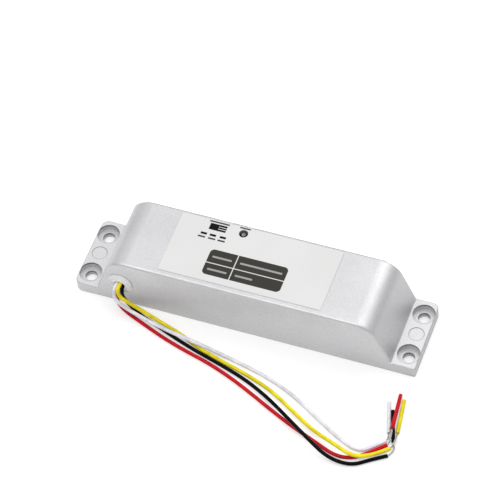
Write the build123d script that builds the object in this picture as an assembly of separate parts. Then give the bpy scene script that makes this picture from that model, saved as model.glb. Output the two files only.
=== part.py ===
from build123d import *
import math
import os

# Electric drop bolt lock, modelled in millimetres in its own frame.
# Z is up from the mounting face, X runs along the lock, the wires leave on the -Y side and the
# bolt comes out on the +Y side. The origin is the middle of the mounting face.

# Housing casting
LOCK_LENGTH = 150.0
LOCK_DEPTH = 34.0
LOCK_HEIGHT = 27.0
FLANGE_THICKNESS = 5.4
FLANGE_CORNER_RADIUS = 3.0
SQUARE_CORNER_RADIUS = 0.6
FLANGE_EDGE = 0.35
BODY_FOOT_LENGTH = 129.4
SLOPE_RUN = 7.9
TOP_CORNER_RADIUS = 10.0
WIRE_SIDE_EDGE_RADIUS = 1.2
BOLT_SIDE_EDGE_RADIUS = 0.6
WALL = 2.4
LEDGE = 1.7
POCKET_FOOT_RADIUS = 1.0

# Fixing holes in the end flanges
FIXING_PITCH_X = 140.4
FIXING_PITCH_Y = 20.5
FIXING_HOLE_RADIUS = 2.55
COUNTERBORE_RADIUS = 4.75
COUNTERBORE_DEPTH = 2.8
EJECTOR_MARK_RADIUS = 3.2
EJECTOR_MARK_DEPTH = 0.2

# Cover plate in its rebate
COVER_THICKNESS = 2.3
COVER_GAP = 0.2
COVER_SIDE_RIM = 2.2
COVER_TOP_RIM = 1.7
COVER_FOOT_RADIUS = 2.0
COVER_TABS = ((-6.25, 3.5), (-17.6, 7.0))
TAB_CHAMFER = 0.6

# Screws that hold the cover
END_SCREW_INSET = 7.6
END_SCREW_Z = 7.2
TOP_SCREW_DROP = 7.2
TOP_SCREW_GAP = 0.8
COVER_SCREW_RADIUS = 2.0
COVER_SCREW_HEAD_RADIUS = 4.1
COVER_SCREW_LENGTH = 12.0
COVER_SCREW_SOCKET_RADIUS = 1.45
COVER_SCREW_SOCKET_DEPTH = 1.6
SCREW_BOSS_RADIUS = 4.0
SCREW_BOSS_LENGTH = 14.4
THREAD_CLEARANCE = 0.03

# Rating label and indicator lamp
LABEL_LENGTH = 71.0
LABEL_X = -0.8
LABEL_FRONT_GAP = 2.6
LABEL_BACK_GAP = 1.0
LABEL_THICKNESS = 0.15
LABEL_CORNER_RADIUS = 0.5
LAMP_X = -8.3
LAMP_TO_COVER = 0.05
LAMP_HOLE_RADIUS = 1.95
LED_RADIUS = 1.5
LED_LENGTH = 5.2
LED_RIM_RADIUS = 1.85
LED_RIM_THICKNESS = 0.9
LED_LEAD_RADIUS = 0.25
LED_LEAD_PITCH = 1.27
LED_SINK = 0.25

# Wire grommet and wires
GROMMET_X = -53.2
GROMMET_Z = 13.4
GROMMET_FLANGE_RADIUS = 5.5
GROMMET_FLANGE_THICKNESS = 0.8
GROMMET_NECK_RADIUS = 3.6
GROMMET_NOSE_RADIUS = 3.3
GROMMET_NOSE_LENGTH = 0.6
GROMMET_BACK_RADIUS = 4.1
GROMMET_BACK_THICKNESS = 0.6
GROMMET_MOUTH = 0.5
GROMMET_RIM_THICKNESS = 0.3
GROMMET_FIT = 0.02
WIRE_RADIUS = 0.8
WIRE_PITCH = 1.7
WIRE_CLEARANCE = 0.05
TUBE_SIDES = 8
LEAD_SIDES = 4
LEAD_JOINT_DEPTH = 1.5

# Bolt and its guide
BOLT_X = -43.7
BOLT_RADIUS = 8.0
BOLT_LENGTH = 22.0
BOLT_THROW = 16.0
BOLT_NOSE_CHAMFER = 1.2
BOLT_HOLE_CLEARANCE = 0.2
BOLT_PIN_FROM_REAR = 3.5
BOLT_PIN_RADIUS = 1.5
BOLT_PIN_LENGTH = 14.0
BOLT_SLOT_LEFT = 5.2
GUIDE_RUNNING_GAP = 0.08
GUIDE_WALL = 1.7
GUIDE_LENGTH = 13.2
CRADLE_WIDTH = 12.0
CRADLE_HEIGHT = 6.4
CRADLE_STOP = 1.8
PIN_FIT = 0.01
SEAT_GAP = 0.05

# Bell-crank lever
LEVER_LONG_ARM = 20.0
LEVER_SHORT_ARM = 6.0
LEVER_THICKNESS = 2.0
LEVER_SIDE_GAP = 0.4
LEVER_HUB_RADIUS = 3.6
LEVER_SLEEVE_RADIUS = 3.2
LEVER_SLEEVE_LENGTH = 5.0
LEVER_ARM_WIDTH = 6.0
LEVER_SLOT_GAP = 0.3
LEVER_PRONG = 2.0
SHORT_PRONG = 1.3
LONG_FORK_REACH = 4.5
SHORT_FORK_REACH = 2.4
PIVOT_PIN_RADIUS = 2.0
PIVOT_RUNNING_GAP = 0.05
PIVOT_BOSS_RADIUS = 3.4
PIVOT_SIDE_GAP = 0.2
CLIP_THICKNESS = 0.8
CLIP_RADIUS = 3.2
CLIP_GROOVE = 0.35
CLIP_MOUTH_SHARE = 0.8

# Solenoid
COIL_LENGTH = 27.0
COIL_FLOOR_GAP = 0.7
COIL_TOP_GAP = 0.9
COIL_SIDE_GAP = 0.1
COIL_INSET = 0.3
FRAME_THICKNESS = 2.0
FRAME_TO_FORK = 1.0
FRAME_TOP_GAP = 1.2
BOBBIN_FLANGE = 1.2
BOBBIN_TUBE = 0.8
FRAME_BEND_RADIUS = 1.2
PLUNGER_RADIUS = 4.0
PLUNGER_GAP = 0.3
PLUNGER_OUTSIDE = 11.2
PLUNGER_CHAMFER = 0.6
CORE_LENGTH = 8.0
CORE_NECK_RADIUS = 3.0
CORE_END_GAP = 0.4
ROD_HOLE_DEPTH = 3.0
ROD_RADIUS = 1.5
ROD_GAP = 0.3
FORK_PIN_RADIUS = 1.25
FORK_EAR_RADIUS = 2.3
FORK_EAR_THICKNESS = 1.7
FORK_EAR_LENGTH = 4.5
FORK_BLOCK_LENGTH = 2.4
SPRING_WIRE = 0.6
SPRING_RADIUS = 5.2
SPRING_TURNS = 5.0
PLUNGER_CLIP_RADIUS = 6.0
PLUNGER_CLIP_THICKNESS = 1.0
PLUNGER_CLIP_GROOVE = 0.6
SOLENOID_SCREW_RADIUS = 1.5
SOLENOID_SCREW_HEAD_RADIUS = 2.8
SOLENOID_SCREW_SPACING = 18.0
SOLENOID_SCREW_LENGTH = 4.3
CROSS_SLOT = (3.0, 0.7, 1.2)

# Circuit board
BOARD_THICKNESS = 1.6
BOARD_PIVOT_REACH = 7.3
BOARD_RIGHT = 49.0
BOARD_FLOOR_GAP = 0.5
BOARD_TOP_GAP = 1.0
BOARD_BOSS_GAP = 0.6
LEFT_POST_RADIUS = 2.6
RIGHT_POST_RADIUS = 3.0
POST_RISE = 2.2
POST_GAP = 1.0
BOARD_SCREW_RADIUS = 1.25
BOARD_SCREW_HEAD_RADIUS = 2.1
BOARD_SCREW_HEAD = 1.5
BOARD_SCREW_LENGTH = 6.0
BOARD_SCREW_SLOT = (2.8, 0.6)
PART_LEAD_RADIUS = 0.25
LEAD_BEND_REACH = 1.2
REED_X = -24.4
REED_Z = 14.1
REED_RADIUS = 1.1
REED_LENGTH = 14.0
REED_LIFT = 1.5
CHIP_X = 4.0
CHIP_Z = 11.5
CHIP_SIZE = (9.8, 3.3, 6.4)
CHIP_LEGS = 4
CHIP_LEG_PITCH = 2.54
CHIP_LEG_WIDTH = 0.6
CHIP_LEG_THICKNESS = 0.3
CHIP_LEG_REACH = 0.9
CHIP_LIFT = 0.45
TRANSISTOR_X = 20.0
TRANSISTOR_Z = 12.0
TRANSISTOR_SIZE = (6.6, 2.3, 6.1)
TRANSISTOR_TAB = (5.4, 0.5, 2.0)
TRANSISTOR_LEG = (0.8, 0.5, 2.4)
CAPACITOR_X = 40.0
CAPACITOR_Z = 12.5
CAPACITOR_RADIUS = 4.0
CAPACITOR_LENGTH = 11.5
CAPACITOR_LIFT = 0.3
CAPACITOR_EDGE = 0.4
CAPACITOR_GROOVE = (1.6, 2.2, 0.3)
CAPACITOR_LEAD_PITCH = 3.5
DIODE_X = 31.5
DIODE_Z = 8.5
DIODE_RADIUS = 1.3
DIODE_LENGTH = 5.0
HEADER_X = -7.5
HEADER_Z = 7.0
HEADER_PINS = 3
HEADER_PITCH = 2.54
HEADER_BASE = 1.2
HEADER_PIN = 0.64
HEADER_PIN_HEIGHT = 2.6
JUMPER_SIZE = (4.9, 2.4, 2.3)
CONNECTOR_SIZE = (8.4, 4.0, 4.0)
CONNECTOR_FRAME_GAP = 1.4
CONNECTOR_TOP_GAP = 0.3
CONNECTOR_PITCH = 2.0
LEAD_WALL_GAP = 0.15
LEAD_LANE_LIFTS = (4.8, 3.0)
LEAD_STEP = 0.5
LEAD_RISE = 1.0
LEAD_TURN = 5.0
LEAD_STRAIGHT = 4.0
COIL_LEAD_RADIUS = 0.45
COIL_LEAD_SHARES = (0.6, 0.75)

# How the depth inside is shared out, from the rear wall to the cover
REAR_GAP_SHARE = 1.8
FRAME_SHARE = 16.6
BOARD_REAR_SHARE = 4.4
BOARD_FRONT_SHARE = 4.9

# Places worked out from the sizes above
REAR_WALL_Y = -LOCK_DEPTH / 2 + WALL
COVER_Y = LOCK_DEPTH / 2 - COVER_THICKNESS
SLOPE = SLOPE_RUN / (LOCK_HEIGHT - FLANGE_THICKNESS)
COVER_TOP = LOCK_HEIGHT - COVER_TOP_RIM
POCKET_TOP = COVER_TOP - LEDGE
COVER_CORNER_RADIUS = TOP_CORNER_RADIUS - COVER_SIDE_RIM
POCKET_CORNER_RADIUS = COVER_CORNER_RADIUS - LEDGE
LABEL_WIDTH = LOCK_DEPTH - LABEL_FRONT_GAP - LABEL_BACK_GAP
LABEL_Y = (LABEL_FRONT_GAP - LABEL_BACK_GAP) / 2
INSIDE_DEPTH = COVER_Y - REAR_WALL_Y - BOARD_THICKNESS
SHARE = INSIDE_DEPTH / (REAR_GAP_SHARE + FRAME_SHARE + BOARD_REAR_SHARE + BOARD_FRONT_SHARE)
FRAME_WIDTH = FRAME_SHARE * SHARE
FRAME_HEIGHT = POCKET_TOP - FRAME_TOP_GAP - WALL
BOBBIN_FLANGE_RADIUS = min(
    FRAME_WIDTH / 2 - COIL_SIDE_GAP, (FRAME_HEIGHT - FRAME_THICKNESS - COIL_FLOOR_GAP - COIL_TOP_GAP) / 2
)
COIL_RADIUS = BOBBIN_FLANGE_RADIUS - COIL_INSET
LAMP_Y = COVER_Y - LAMP_HOLE_RADIUS - LAMP_TO_COVER
BOLT_Z = WALL + FRAME_THICKNESS + COIL_FLOOR_GAP + BOBBIN_FLANGE_RADIUS
COIL_Y = REAR_WALL_Y + REAR_GAP_SHARE * SHARE + FRAME_WIDTH / 2
PIVOT_X = BOLT_X + LEVER_LONG_ARM
PIVOT_Y = COIL_Y + LEVER_SHORT_ARM
BOLT_PIN_Y = PIVOT_Y - BOLT_THROW / 2
BOLT_REAR = BOLT_PIN_Y - BOLT_PIN_FROM_REAR
BOLT_FRONT = BOLT_REAR + BOLT_LENGTH
GUIDE_Y = COVER_Y - GUIDE_LENGTH
GUIDE_RADIUS = BOLT_RADIUS + GUIDE_RUNNING_GAP + GUIDE_WALL
LEVER_SLOT_HEIGHT = LEVER_THICKNESS + 2 * LEVER_SIDE_GAP
HALF_SWING = math.degrees(math.atan(BOLT_THROW / 2 / LEVER_LONG_ARM))
PLUNGER_STROKE = 2 * LEVER_SHORT_ARM * math.tan(math.radians(HALF_SWING))
FORK_PIN_X = PIVOT_X + PLUNGER_STROKE / 2
FORK_BLOCK_X = FORK_PIN_X + FORK_EAR_LENGTH
FRAME_X = FORK_BLOCK_X + FORK_BLOCK_LENGTH + FRAME_TO_FORK
COIL_X = FRAME_X + FRAME_THICKNESS
FRAME_END_X = COIL_X + COIL_LENGTH + FRAME_THICKNESS
BOBBIN_BORE = PLUNGER_RADIUS + PLUNGER_GAP
PLUNGER_X = COIL_X + CORE_LENGTH + CORE_END_GAP + PLUNGER_STROKE
PLUNGER_END_X = FRAME_END_X + PLUNGER_OUTSIDE
PLUNGER_CLIP_X = PLUNGER_END_X - 2 * PLUNGER_CLIP_THICKNESS
END_SCREW_X = BODY_FOOT_LENGTH / 2 - END_SCREW_INSET
TOP_SCREW_X = PLUNGER_END_X + TOP_SCREW_GAP + SCREW_BOSS_RADIUS
TOP_SCREW_Z = LOCK_HEIGHT - TOP_SCREW_DROP
COVER_SCREW_PLACES = ((-END_SCREW_X, END_SCREW_Z), (END_SCREW_X, END_SCREW_Z), (TOP_SCREW_X, TOP_SCREW_Z))
BOARD_Y = COVER_Y - BOARD_FRONT_SHARE * SHARE - BOARD_THICKNESS
BOARD_FRONT = BOARD_Y + BOARD_THICKNESS
BOARD_LEFT = PIVOT_X - BOARD_PIVOT_REACH
BOARD_BOTTOM = WALL + BOARD_FLOOR_GAP
BOARD_TOP = POCKET_TOP - BOARD_TOP_GAP
BOARD_POSTS = (
    (FRAME_X - POST_GAP - LEFT_POST_RADIUS, WALL + POST_RISE, LEFT_POST_RADIUS),
    (BOARD_RIGHT - RIGHT_POST_RADIUS, WALL + POST_RISE, RIGHT_POST_RADIUS),
)
CONNECTOR_X = FRAME_X - CONNECTOR_FRAME_GAP - CONNECTOR_SIZE[0] / 2
CONNECTOR_Z = BOARD_TOP - CONNECTOR_TOP_GAP - CONNECTOR_SIZE[2] / 2
LEAD_JOINT_Y = -LOCK_DEPTH / 2 + LEAD_JOINT_DEPTH

# Wire routes: points chosen along each wire, from the joint inside the grommet to the cut end
WIRE_LEFT = GROMMET_X - WIRE_PITCH / 2
WIRE_RIGHT = GROMMET_X + WIRE_PITCH / 2
WIRE_UPPER = GROMMET_Z + WIRE_PITCH / 2
WIRE_LOWER = GROMMET_Z - WIRE_PITCH / 2
WIRE_ROUTES = {
    "yellow": (
        (WIRE_RIGHT, LEAD_JOINT_Y, WIRE_UPPER), (WIRE_RIGHT, -20.4, WIRE_UPPER),
        (-52.0, -21.4, 9.6), (-47.2, -21.4, 6.2), (-41.2, -21.8, 3.4), (-34.0, -22.8, 0.8),
        (-25.5, -25.4, 0.8), (-14.5, -30.3, 0.8), (-3.0, -33.6, 0.8), (9.5, -36.8, 0.8),
        (22.0, -41.3, 0.8), (33.5, -48.2, 0.8), (44.5, -54.6, 1.4), (54.5, -59.4, 4.2),
        (63.5, -62.8, 4.2), (70.5, -58.6, 1.6), (76.0, -52.8, 0.8),
    ),
    "white": (
        (WIRE_LEFT, LEAD_JOINT_Y, WIRE_UPPER), (WIRE_LEFT, -20.4, WIRE_UPPER),
        (-54.4, -22.4, 9.4), (-50.0, -23.2, 5.6), (-43.0, -24.6, 4.4), (-33.5, -27.0, 4.4),
        (-24.0, -28.9, 4.4), (-15.0, -29.8, 3.6), (-5.5, -30.2, 0.8), (7.0, -32.8, 0.8),
        (19.5, -35.9, 0.8), (32.0, -41.2, 0.8), (44.0, -48.3, 0.8), (55.0, -54.5, 0.8),
        (64.5, -58.2, 0.8), (69.9, -53.4, 0.8), (73.4, -49.7, 0.8),
    ),
    "black": (
        (WIRE_RIGHT, LEAD_JOINT_Y, WIRE_LOWER), (WIRE_RIGHT, -19.2, WIRE_LOWER),
        (-52.6, -19.7, 7.8), (-48.5, -19.4, 3.4), (-43.5, -20.7, 0.8), (-35.5, -24.7, 0.8),
        (-25.5, -28.5, 0.8), (-14.5, -32.1, 0.8), (-2.5, -35.4, 0.8), (8.5, -38.9, 0.8),
        (18.0, -43.2, 0.8), (26.0, -48.4, 2.4), (34.5, -54.6, 4.4), (44.0, -60.4, 4.4),
        (53.5, -64.9, 1.8), (63.5, -65.2, 0.8), (70.5, -60.0, 0.8), (76.2, -56.4, 0.8),
    ),
    "red": (
        (WIRE_LEFT, LEAD_JOINT_Y, WIRE_LOWER), (WIRE_LEFT, -19.2, WIRE_LOWER),
        (-55.2, -20.1, 7.4), (-54.0, -20.8, 3.0), (-49.5, -22.6, 0.8), (-42.0, -25.8, 0.8),
        (-31.5, -29.4, 0.8), (-20.0, -33.0, 0.8), (-8.0, -36.0, 0.8), (4.0, -40.4, 0.8),
        (14.0, -44.9, 0.8), (24.5, -50.0, 0.8), (35.0, -54.7, 0.8), (45.5, -58.6, 0.8),
        (56.0, -62.8, 0.8), (63.5, -61.6, 0.8), (69.0, -56.9, 0.8), (74.4, -51.6, 0.8),
    ),
}
CORNER_SHARE = 0.45

# Bared ends: the strands' bends, and the loose pieces of insulation left on the strands' tips
STRAND_RADIUS = 0.35
STRAND_LEAD = 0.8
STRAND_BENDS = {
    "yellow": ((77.0, -51.4, 2.1), (77.1, -48.4, 2.3)),
    "white": (),
    "black": ((77.9, -52.6, 0.8),),
    "red": ((74.9, -48.2, 2.2),),
}
SLUG_ENDS = {
    "yellow": ((76.65, -45.2, 0.8), (74.4, -29.3, 0.8)),
    "white": ((73.2, -46.2, 0.8), (68.8, -31.9, 0.8)),
    "black": ((76.4, -49.8, 0.8), (71.5, -35.4, 0.8)),
    "red": ((74.4, -45.0, 2.7), (72.3, -27.5, 1.3)),
}

def xz_face(sketch, y):
    """Stand a sketch drawn in X and Z on the plane at that Y, facing -Y."""
    return Plane(origin=(0, y, 0), x_dir=(1, 0, 0), z_dir=(0, -1, 0)) * sketch


def prism_y(sketch, low, high):
    """Extrude a sketch drawn in X and Z from one Y to another."""
    return extrude(xz_face(sketch, high), high - low)


def rod_y(x, z, low, high, radius):
    """A round bar along Y."""
    return prism_y(Pos(x, z) * Circle(radius), low, high)


def rod_x(y, z, low, high, radius):
    """A round bar along X."""
    return extrude(Plane(origin=(low, y, z), x_dir=(0, 1, 0), z_dir=(1, 0, 0)) * Circle(radius), high - low)


def rod_z(x, y, low, high, radius):
    """A round bar along Z."""
    return extrude(Plane.XY.offset(low) * Pos(x, y) * Circle(radius), high - low)


def block(low, high):
    """A box between two corners."""
    size = [b - a for a, b in zip(low, high)]
    middle = [(a + b) / 2 for a, b in zip(low, high)]
    return Pos(*middle) * Box(*size)


def hat_outline(side_inset, top, bottom, corner_radius, foot_radius):
    """The body's outline in X and Z, inset from its sloping ends, with rounded corners."""

    def half_width(z):
        return BODY_FOOT_LENGTH / 2 - side_inset - SLOPE * (z - FLANGE_THICKNESS)

    corners = [
        (-half_width(bottom), bottom), (half_width(bottom), bottom),
        (half_width(top), top), (-half_width(top), top),
    ]
    outline = make_face(Polyline(*corners, close=True))
    outline = fillet(outline.vertices().group_by(Axis.Y)[-1], corner_radius)
    if foot_radius:
        outline = fillet(outline.vertices().group_by(Axis.Y)[0], foot_radius)
    return outline


def cover_outline(grow):
    """The cover plate's outline, grown by that much to give the rebate it drops into."""
    outline = hat_outline(
        COVER_SIDE_RIM - grow, COVER_TOP + grow, 0, COVER_CORNER_RADIUS + grow, COVER_FOOT_RADIUS
    )
    for centre, width in COVER_TABS:
        tab = Pos(centre, LOCK_HEIGHT / 2) * Rectangle(width + 2 * grow, LOCK_HEIGHT)
        outline = outline + tab
    return outline


def end_flanges():
    """The base slab whose ends are the fixing flanges; its corner at +X, -Y is nearly square."""
    slab = Pos(0, 0, FLANGE_THICKNESS / 2) * Box(LOCK_LENGTH, LOCK_DEPTH, FLANGE_THICKNESS)
    uprights = slab.edges().filter_by(Axis.Z).sort_by(lambda e: e.center().X - e.center().Y)
    slab = fillet(uprights[:-1], FLANGE_CORNER_RADIUS)
    uprights = slab.edges().filter_by(Axis.Z).sort_by(lambda e: e.center().X - e.center().Y)
    slab = fillet(uprights[-1], SQUARE_CORNER_RADIUS)
    return chamfer(slab.faces().sort_by(Axis.Z)[-1].edges(), FLANGE_EDGE)


def fixing_places():
    """The four fixing hole centres."""
    return [(sx * FIXING_PITCH_X / 2, sy * FIXING_PITCH_Y / 2) for sx in (-1, 1) for sy in (-1, 1)]


def solenoid_screw_places():
    """The solenoid's two screw centres in the mounting face."""
    middle = COIL_X + COIL_LENGTH / 2
    return [(middle + s * SOLENOID_SCREW_SPACING / 2, COIL_Y) for s in (-1, 1)]


def housing():
    """The cast housing: hat-shaped body on a flanged base, hollowed out from the bolt side."""
    hat = prism_y(
        hat_outline(0, LOCK_HEIGHT, 0, TOP_CORNER_RADIUS, 0), -LOCK_DEPTH / 2, LOCK_DEPTH / 2
    )
    wire_side = hat.faces().sort_by(Axis.Y)[0].edges()
    hat = fillet([e for e in wire_side if e.center().Z > FLANGE_THICKNESS], WIRE_SIDE_EDGE_RADIUS)
    bolt_side = hat.faces().sort_by(Axis.Y)[-1].edges()
    hat = fillet([e for e in bolt_side if e.center().Z > FLANGE_THICKNESS], BOLT_SIDE_EDGE_RADIUS)
    body = hat + end_flanges()

    body -= prism_y(cover_outline(COVER_GAP), COVER_Y, LOCK_DEPTH / 2 + 1)
    body -= prism_y(
        hat_outline(
            COVER_SIDE_RIM + LEDGE, POCKET_TOP, WALL, POCKET_CORNER_RADIUS, POCKET_FOOT_RADIUS
        ),
        REAR_WALL_Y, COVER_Y,
    )

    for x, z in COVER_SCREW_PLACES:
        body += rod_y(x, z, COVER_Y - SCREW_BOSS_LENGTH, COVER_Y, SCREW_BOSS_RADIUS)
    for x, z, radius in BOARD_POSTS:
        body += rod_y(x, z, REAR_WALL_Y, BOARD_Y, radius)
    body += rod_z(PIVOT_X, PIVOT_Y, WALL, sleeve_bottom() - PIVOT_SIDE_GAP, PIVOT_BOSS_RADIUS)
    body += guide_cradle()

    screw_floor = COVER_Y - (COVER_SCREW_LENGTH - COVER_THICKNESS) - COVER_SCREW_RADIUS
    for x, z in COVER_SCREW_PLACES:
        body -= rod_y(x, z, screw_floor, COVER_Y, COVER_SCREW_RADIUS + THREAD_CLEARANCE)
    for x, z, radius in BOARD_POSTS:
        body -= rod_y(
            x, z, BOARD_Y - BOARD_SCREW_LENGTH, BOARD_Y, BOARD_SCREW_RADIUS + THREAD_CLEARANCE
        )
    body -= rod_z(PIVOT_X, PIVOT_Y, WALL + 1, LOCK_HEIGHT / 2, PIVOT_PIN_RADIUS + PIN_FIT)

    for x, y in fixing_places():
        body -= rod_z(x, y, -1, FLANGE_THICKNESS + 1, FIXING_HOLE_RADIUS)
        body -= rod_z(
            x, y, FLANGE_THICKNESS - COUNTERBORE_DEPTH, FLANGE_THICKNESS + 1, COUNTERBORE_RADIUS
        )
    for side in (-1, 1):
        x = side * FIXING_PITCH_X / 2
        top = FLANGE_THICKNESS + 1
        body -= rod_z(x, 0, FLANGE_THICKNESS - EJECTOR_MARK_DEPTH, top, EJECTOR_MARK_RADIUS)
    for x, y in solenoid_screw_places():
        body -= rod_z(x, y, -1, WALL + 1, SOLENOID_SCREW_RADIUS + THREAD_CLEARANCE)
        body -= Pos(x, y, 0) * countersink(SOLENOID_SCREW_HEAD_RADIUS + SEAT_GAP, SOLENOID_SCREW_RADIUS)

    body -= rod_y(
        GROMMET_X, GROMMET_Z, -LOCK_DEPTH / 2 - 1, REAR_WALL_Y + 1, GROMMET_NECK_RADIUS + GROMMET_FIT
    )
    body -= rod_z(LAMP_X, LAMP_Y, POCKET_TOP - 1, LOCK_HEIGHT + 1, LAMP_HOLE_RADIUS)
    return body


def countersink(wide, narrow):
    """A right-angled cone from its wide end at Z = 0 up to the shank's radius."""
    height = wide - narrow
    return Pos(0, 0, height / 2) * Cone(wide, narrow, height)


def guide_cradle():
    """A cast cradle on the floor that the bolt guide lies in, with a stop behind it."""
    cradle = block(
        (BOLT_X - CRADLE_WIDTH / 2, GUIDE_Y - CRADLE_STOP, WALL),
        (BOLT_X + CRADLE_WIDTH / 2, COVER_Y - 1, WALL + CRADLE_HEIGHT),
    )
    cradle -= rod_y(BOLT_X, BOLT_Z, GUIDE_Y, COVER_Y, GUIDE_RADIUS + SEAT_GAP)
    return cradle - rod_y(
        BOLT_X, BOLT_Z, GUIDE_Y - 2 * CRADLE_STOP, GUIDE_Y, BOLT_RADIUS + PLUNGER_GAP
    )


def cover_plate():
    """The plate that closes the bolt side, with two locating tabs and countersunk screw holes."""
    plate = prism_y(cover_outline(0), COVER_Y, LOCK_DEPTH / 2)
    for centre, width in COVER_TABS:
        corner = block(
            (centre - width / 2 - 1, LOCK_DEPTH / 2 - TAB_CHAMFER, LOCK_HEIGHT - TAB_CHAMFER),
            (centre + width / 2 + 1, LOCK_DEPTH / 2, LOCK_HEIGHT),
        )
        keep = Pos(centre, LOCK_DEPTH / 2 - TAB_CHAMFER, LOCK_HEIGHT - TAB_CHAMFER)
        keep *= Rot(0, 90, 0) * Cylinder(TAB_CHAMFER, width + 4 * TAB_CHAMFER)
        plate -= corner - keep
    plate -= rod_y(BOLT_X, BOLT_Z, COVER_Y - 1, LOCK_DEPTH, BOLT_RADIUS + BOLT_HOLE_CLEARANCE)
    for x, z in COVER_SCREW_PLACES:
        seat = COVER_SCREW_HEAD_RADIUS + SEAT_GAP
        plate -= rod_y(x, z, COVER_Y - 1, LOCK_DEPTH, COVER_SCREW_RADIUS + SEAT_GAP)
        plate -= Pos(x, LOCK_DEPTH / 2, z) * Rot(90, 0, 0) * countersink(seat, COVER_SCREW_RADIUS)
    return plate


def cover_screw(x, z):
    """One countersunk socket screw, its head flush with the cover."""
    face = LOCK_DEPTH / 2
    screw = Pos(x, face, z) * Rot(90, 0, 0) * countersink(COVER_SCREW_HEAD_RADIUS, COVER_SCREW_RADIUS)
    screw += rod_y(x, z, face - COVER_SCREW_LENGTH, face - 1, COVER_SCREW_RADIUS)
    socket = Pos(x, z) * RegularPolygon(COVER_SCREW_SOCKET_RADIUS, 6, major_radius=False)
    return screw - prism_y(socket, face - COVER_SCREW_SOCKET_DEPTH, face)


def rating_label():
    """The label on the top face, pierced for the lamp."""
    outline = Pos(LABEL_X, LABEL_Y) * RectangleRounded(LABEL_LENGTH, LABEL_WIDTH, LABEL_CORNER_RADIUS)
    outline -= Pos(LAMP_X, LAMP_Y) * Circle(LAMP_HOLE_RADIUS)
    return extrude(Plane.XY.offset(LOCK_HEIGHT) * outline, LABEL_THICKNESS)


def indicator_led():
    """The lamp's lens with its flatted rim, and two leads bent back to the board."""
    top = LOCK_HEIGHT - LED_SINK
    base = top - LED_LENGTH
    body = rod_z(LAMP_X, LAMP_Y, base, top - LED_RADIUS, LED_RADIUS)
    body += Pos(LAMP_X, LAMP_Y, top - LED_RADIUS) * Sphere(LED_RADIUS)
    rim = rod_z(LAMP_X, LAMP_Y, base, base + LED_RIM_THICKNESS, LED_RIM_RADIUS)
    flat = block(
        (LAMP_X - LED_LENGTH, LAMP_Y + LED_RADIUS, base),
        (LAMP_X + LED_LENGTH, LAMP_Y + LED_LENGTH, base + LED_LENGTH),
    )
    body += rim - flat
    lead_z = base - 2 * LED_LEAD_PITCH
    for side in (-1, 1):
        x = LAMP_X + side * LED_LEAD_PITCH / 2
        route = ((x, LAMP_Y, base), (x, LAMP_Y, lead_z), (x, BOARD_FRONT, lead_z))
        body += tube(route, LED_LEAD_RADIUS, LEAD_SIDES)
    return body


def wire_grommet():
    """The rubber grommet in the rear wall: a revolved profile with a flared bore for four wires."""
    outer = -LOCK_DEPTH / 2
    bore = WIRE_PITCH / math.sqrt(2) + WIRE_RADIUS + WIRE_CLEARANCE
    flange_face = outer - GROMMET_FLANGE_THICKNESS
    nose_face = flange_face - GROMMET_NOSE_LENGTH
    back_face = REAR_WALL_Y + GROMMET_BACK_THICKNESS
    profile = Polyline(
        (bore, outer), (bore + GROMMET_MOUTH, nose_face), (GROMMET_NOSE_RADIUS, nose_face),
        (GROMMET_FLANGE_RADIUS - GROMMET_NOSE_LENGTH, flange_face),
        (GROMMET_FLANGE_RADIUS, outer - GROMMET_RIM_THICKNESS),
        (GROMMET_FLANGE_RADIUS, outer), (GROMMET_NECK_RADIUS, outer), (GROMMET_NECK_RADIUS, REAR_WALL_Y),
        (GROMMET_BACK_RADIUS, REAR_WALL_Y), (GROMMET_BACK_RADIUS, back_face), (bore, back_face),
        close=True,
    )
    ring = revolve(make_face(profile), Axis.Y)
    return Pos(GROMMET_X, 0, GROMMET_Z) * ring


def bolt_guide():
    """The bolt's guide barrel, slotted for the lever."""
    barrel = rod_y(BOLT_X, BOLT_Z, GUIDE_Y, COVER_Y, GUIDE_RADIUS)
    barrel -= rod_y(BOLT_X, BOLT_Z, GUIDE_Y - 1, COVER_Y + 1, BOLT_RADIUS + GUIDE_RUNNING_GAP)
    reach = BOLT_PIN_Y + BOLT_THROW + BOLT_PIN_RADIUS
    half = LEVER_SLOT_HEIGHT / 2
    return barrel - block(
        (BOLT_X, GUIDE_Y - 1, BOLT_Z - half), (BOLT_X + 2 * GUIDE_RADIUS, reach, BOLT_Z + half)
    )


def bolt():
    """The bolt, slotted at its tail for the lever and drilled for the cross pin."""
    body = rod_y(BOLT_X, BOLT_Z, BOLT_REAR, BOLT_FRONT, BOLT_RADIUS)
    body = chamfer(body.edges().sort_by(Axis.Y)[-1], BOLT_NOSE_CHAMFER)
    half = LEVER_SLOT_HEIGHT / 2
    prong = BOLT_PIN_RADIUS + LEVER_SLOT_GAP + LEVER_PRONG
    swing = math.radians(HALF_SWING)
    slot_front = BOLT_PIN_Y + BOLT_RADIUS * math.tan(swing) + prong / math.cos(swing) + LEVER_SLOT_GAP
    body -= block(
        (BOLT_X - BOLT_SLOT_LEFT, BOLT_REAR - 1, BOLT_Z - half),
        (BOLT_X + 2 * BOLT_RADIUS, slot_front, BOLT_Z + half),
    )
    return body - rod_z(BOLT_X, BOLT_PIN_Y, 0, LOCK_HEIGHT, BOLT_PIN_RADIUS + PIN_FIT)


def bolt_pin():
    """The cross pin that the lever drives."""
    half = BOLT_PIN_LENGTH / 2
    return rod_z(BOLT_X, BOLT_PIN_Y, BOLT_Z - half, BOLT_Z + half, BOLT_PIN_RADIUS)


def sleeve_bottom():
    """The underside of the lever's sleeve."""
    return BOLT_Z - LEVER_SLEEVE_LENGTH / 2


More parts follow.
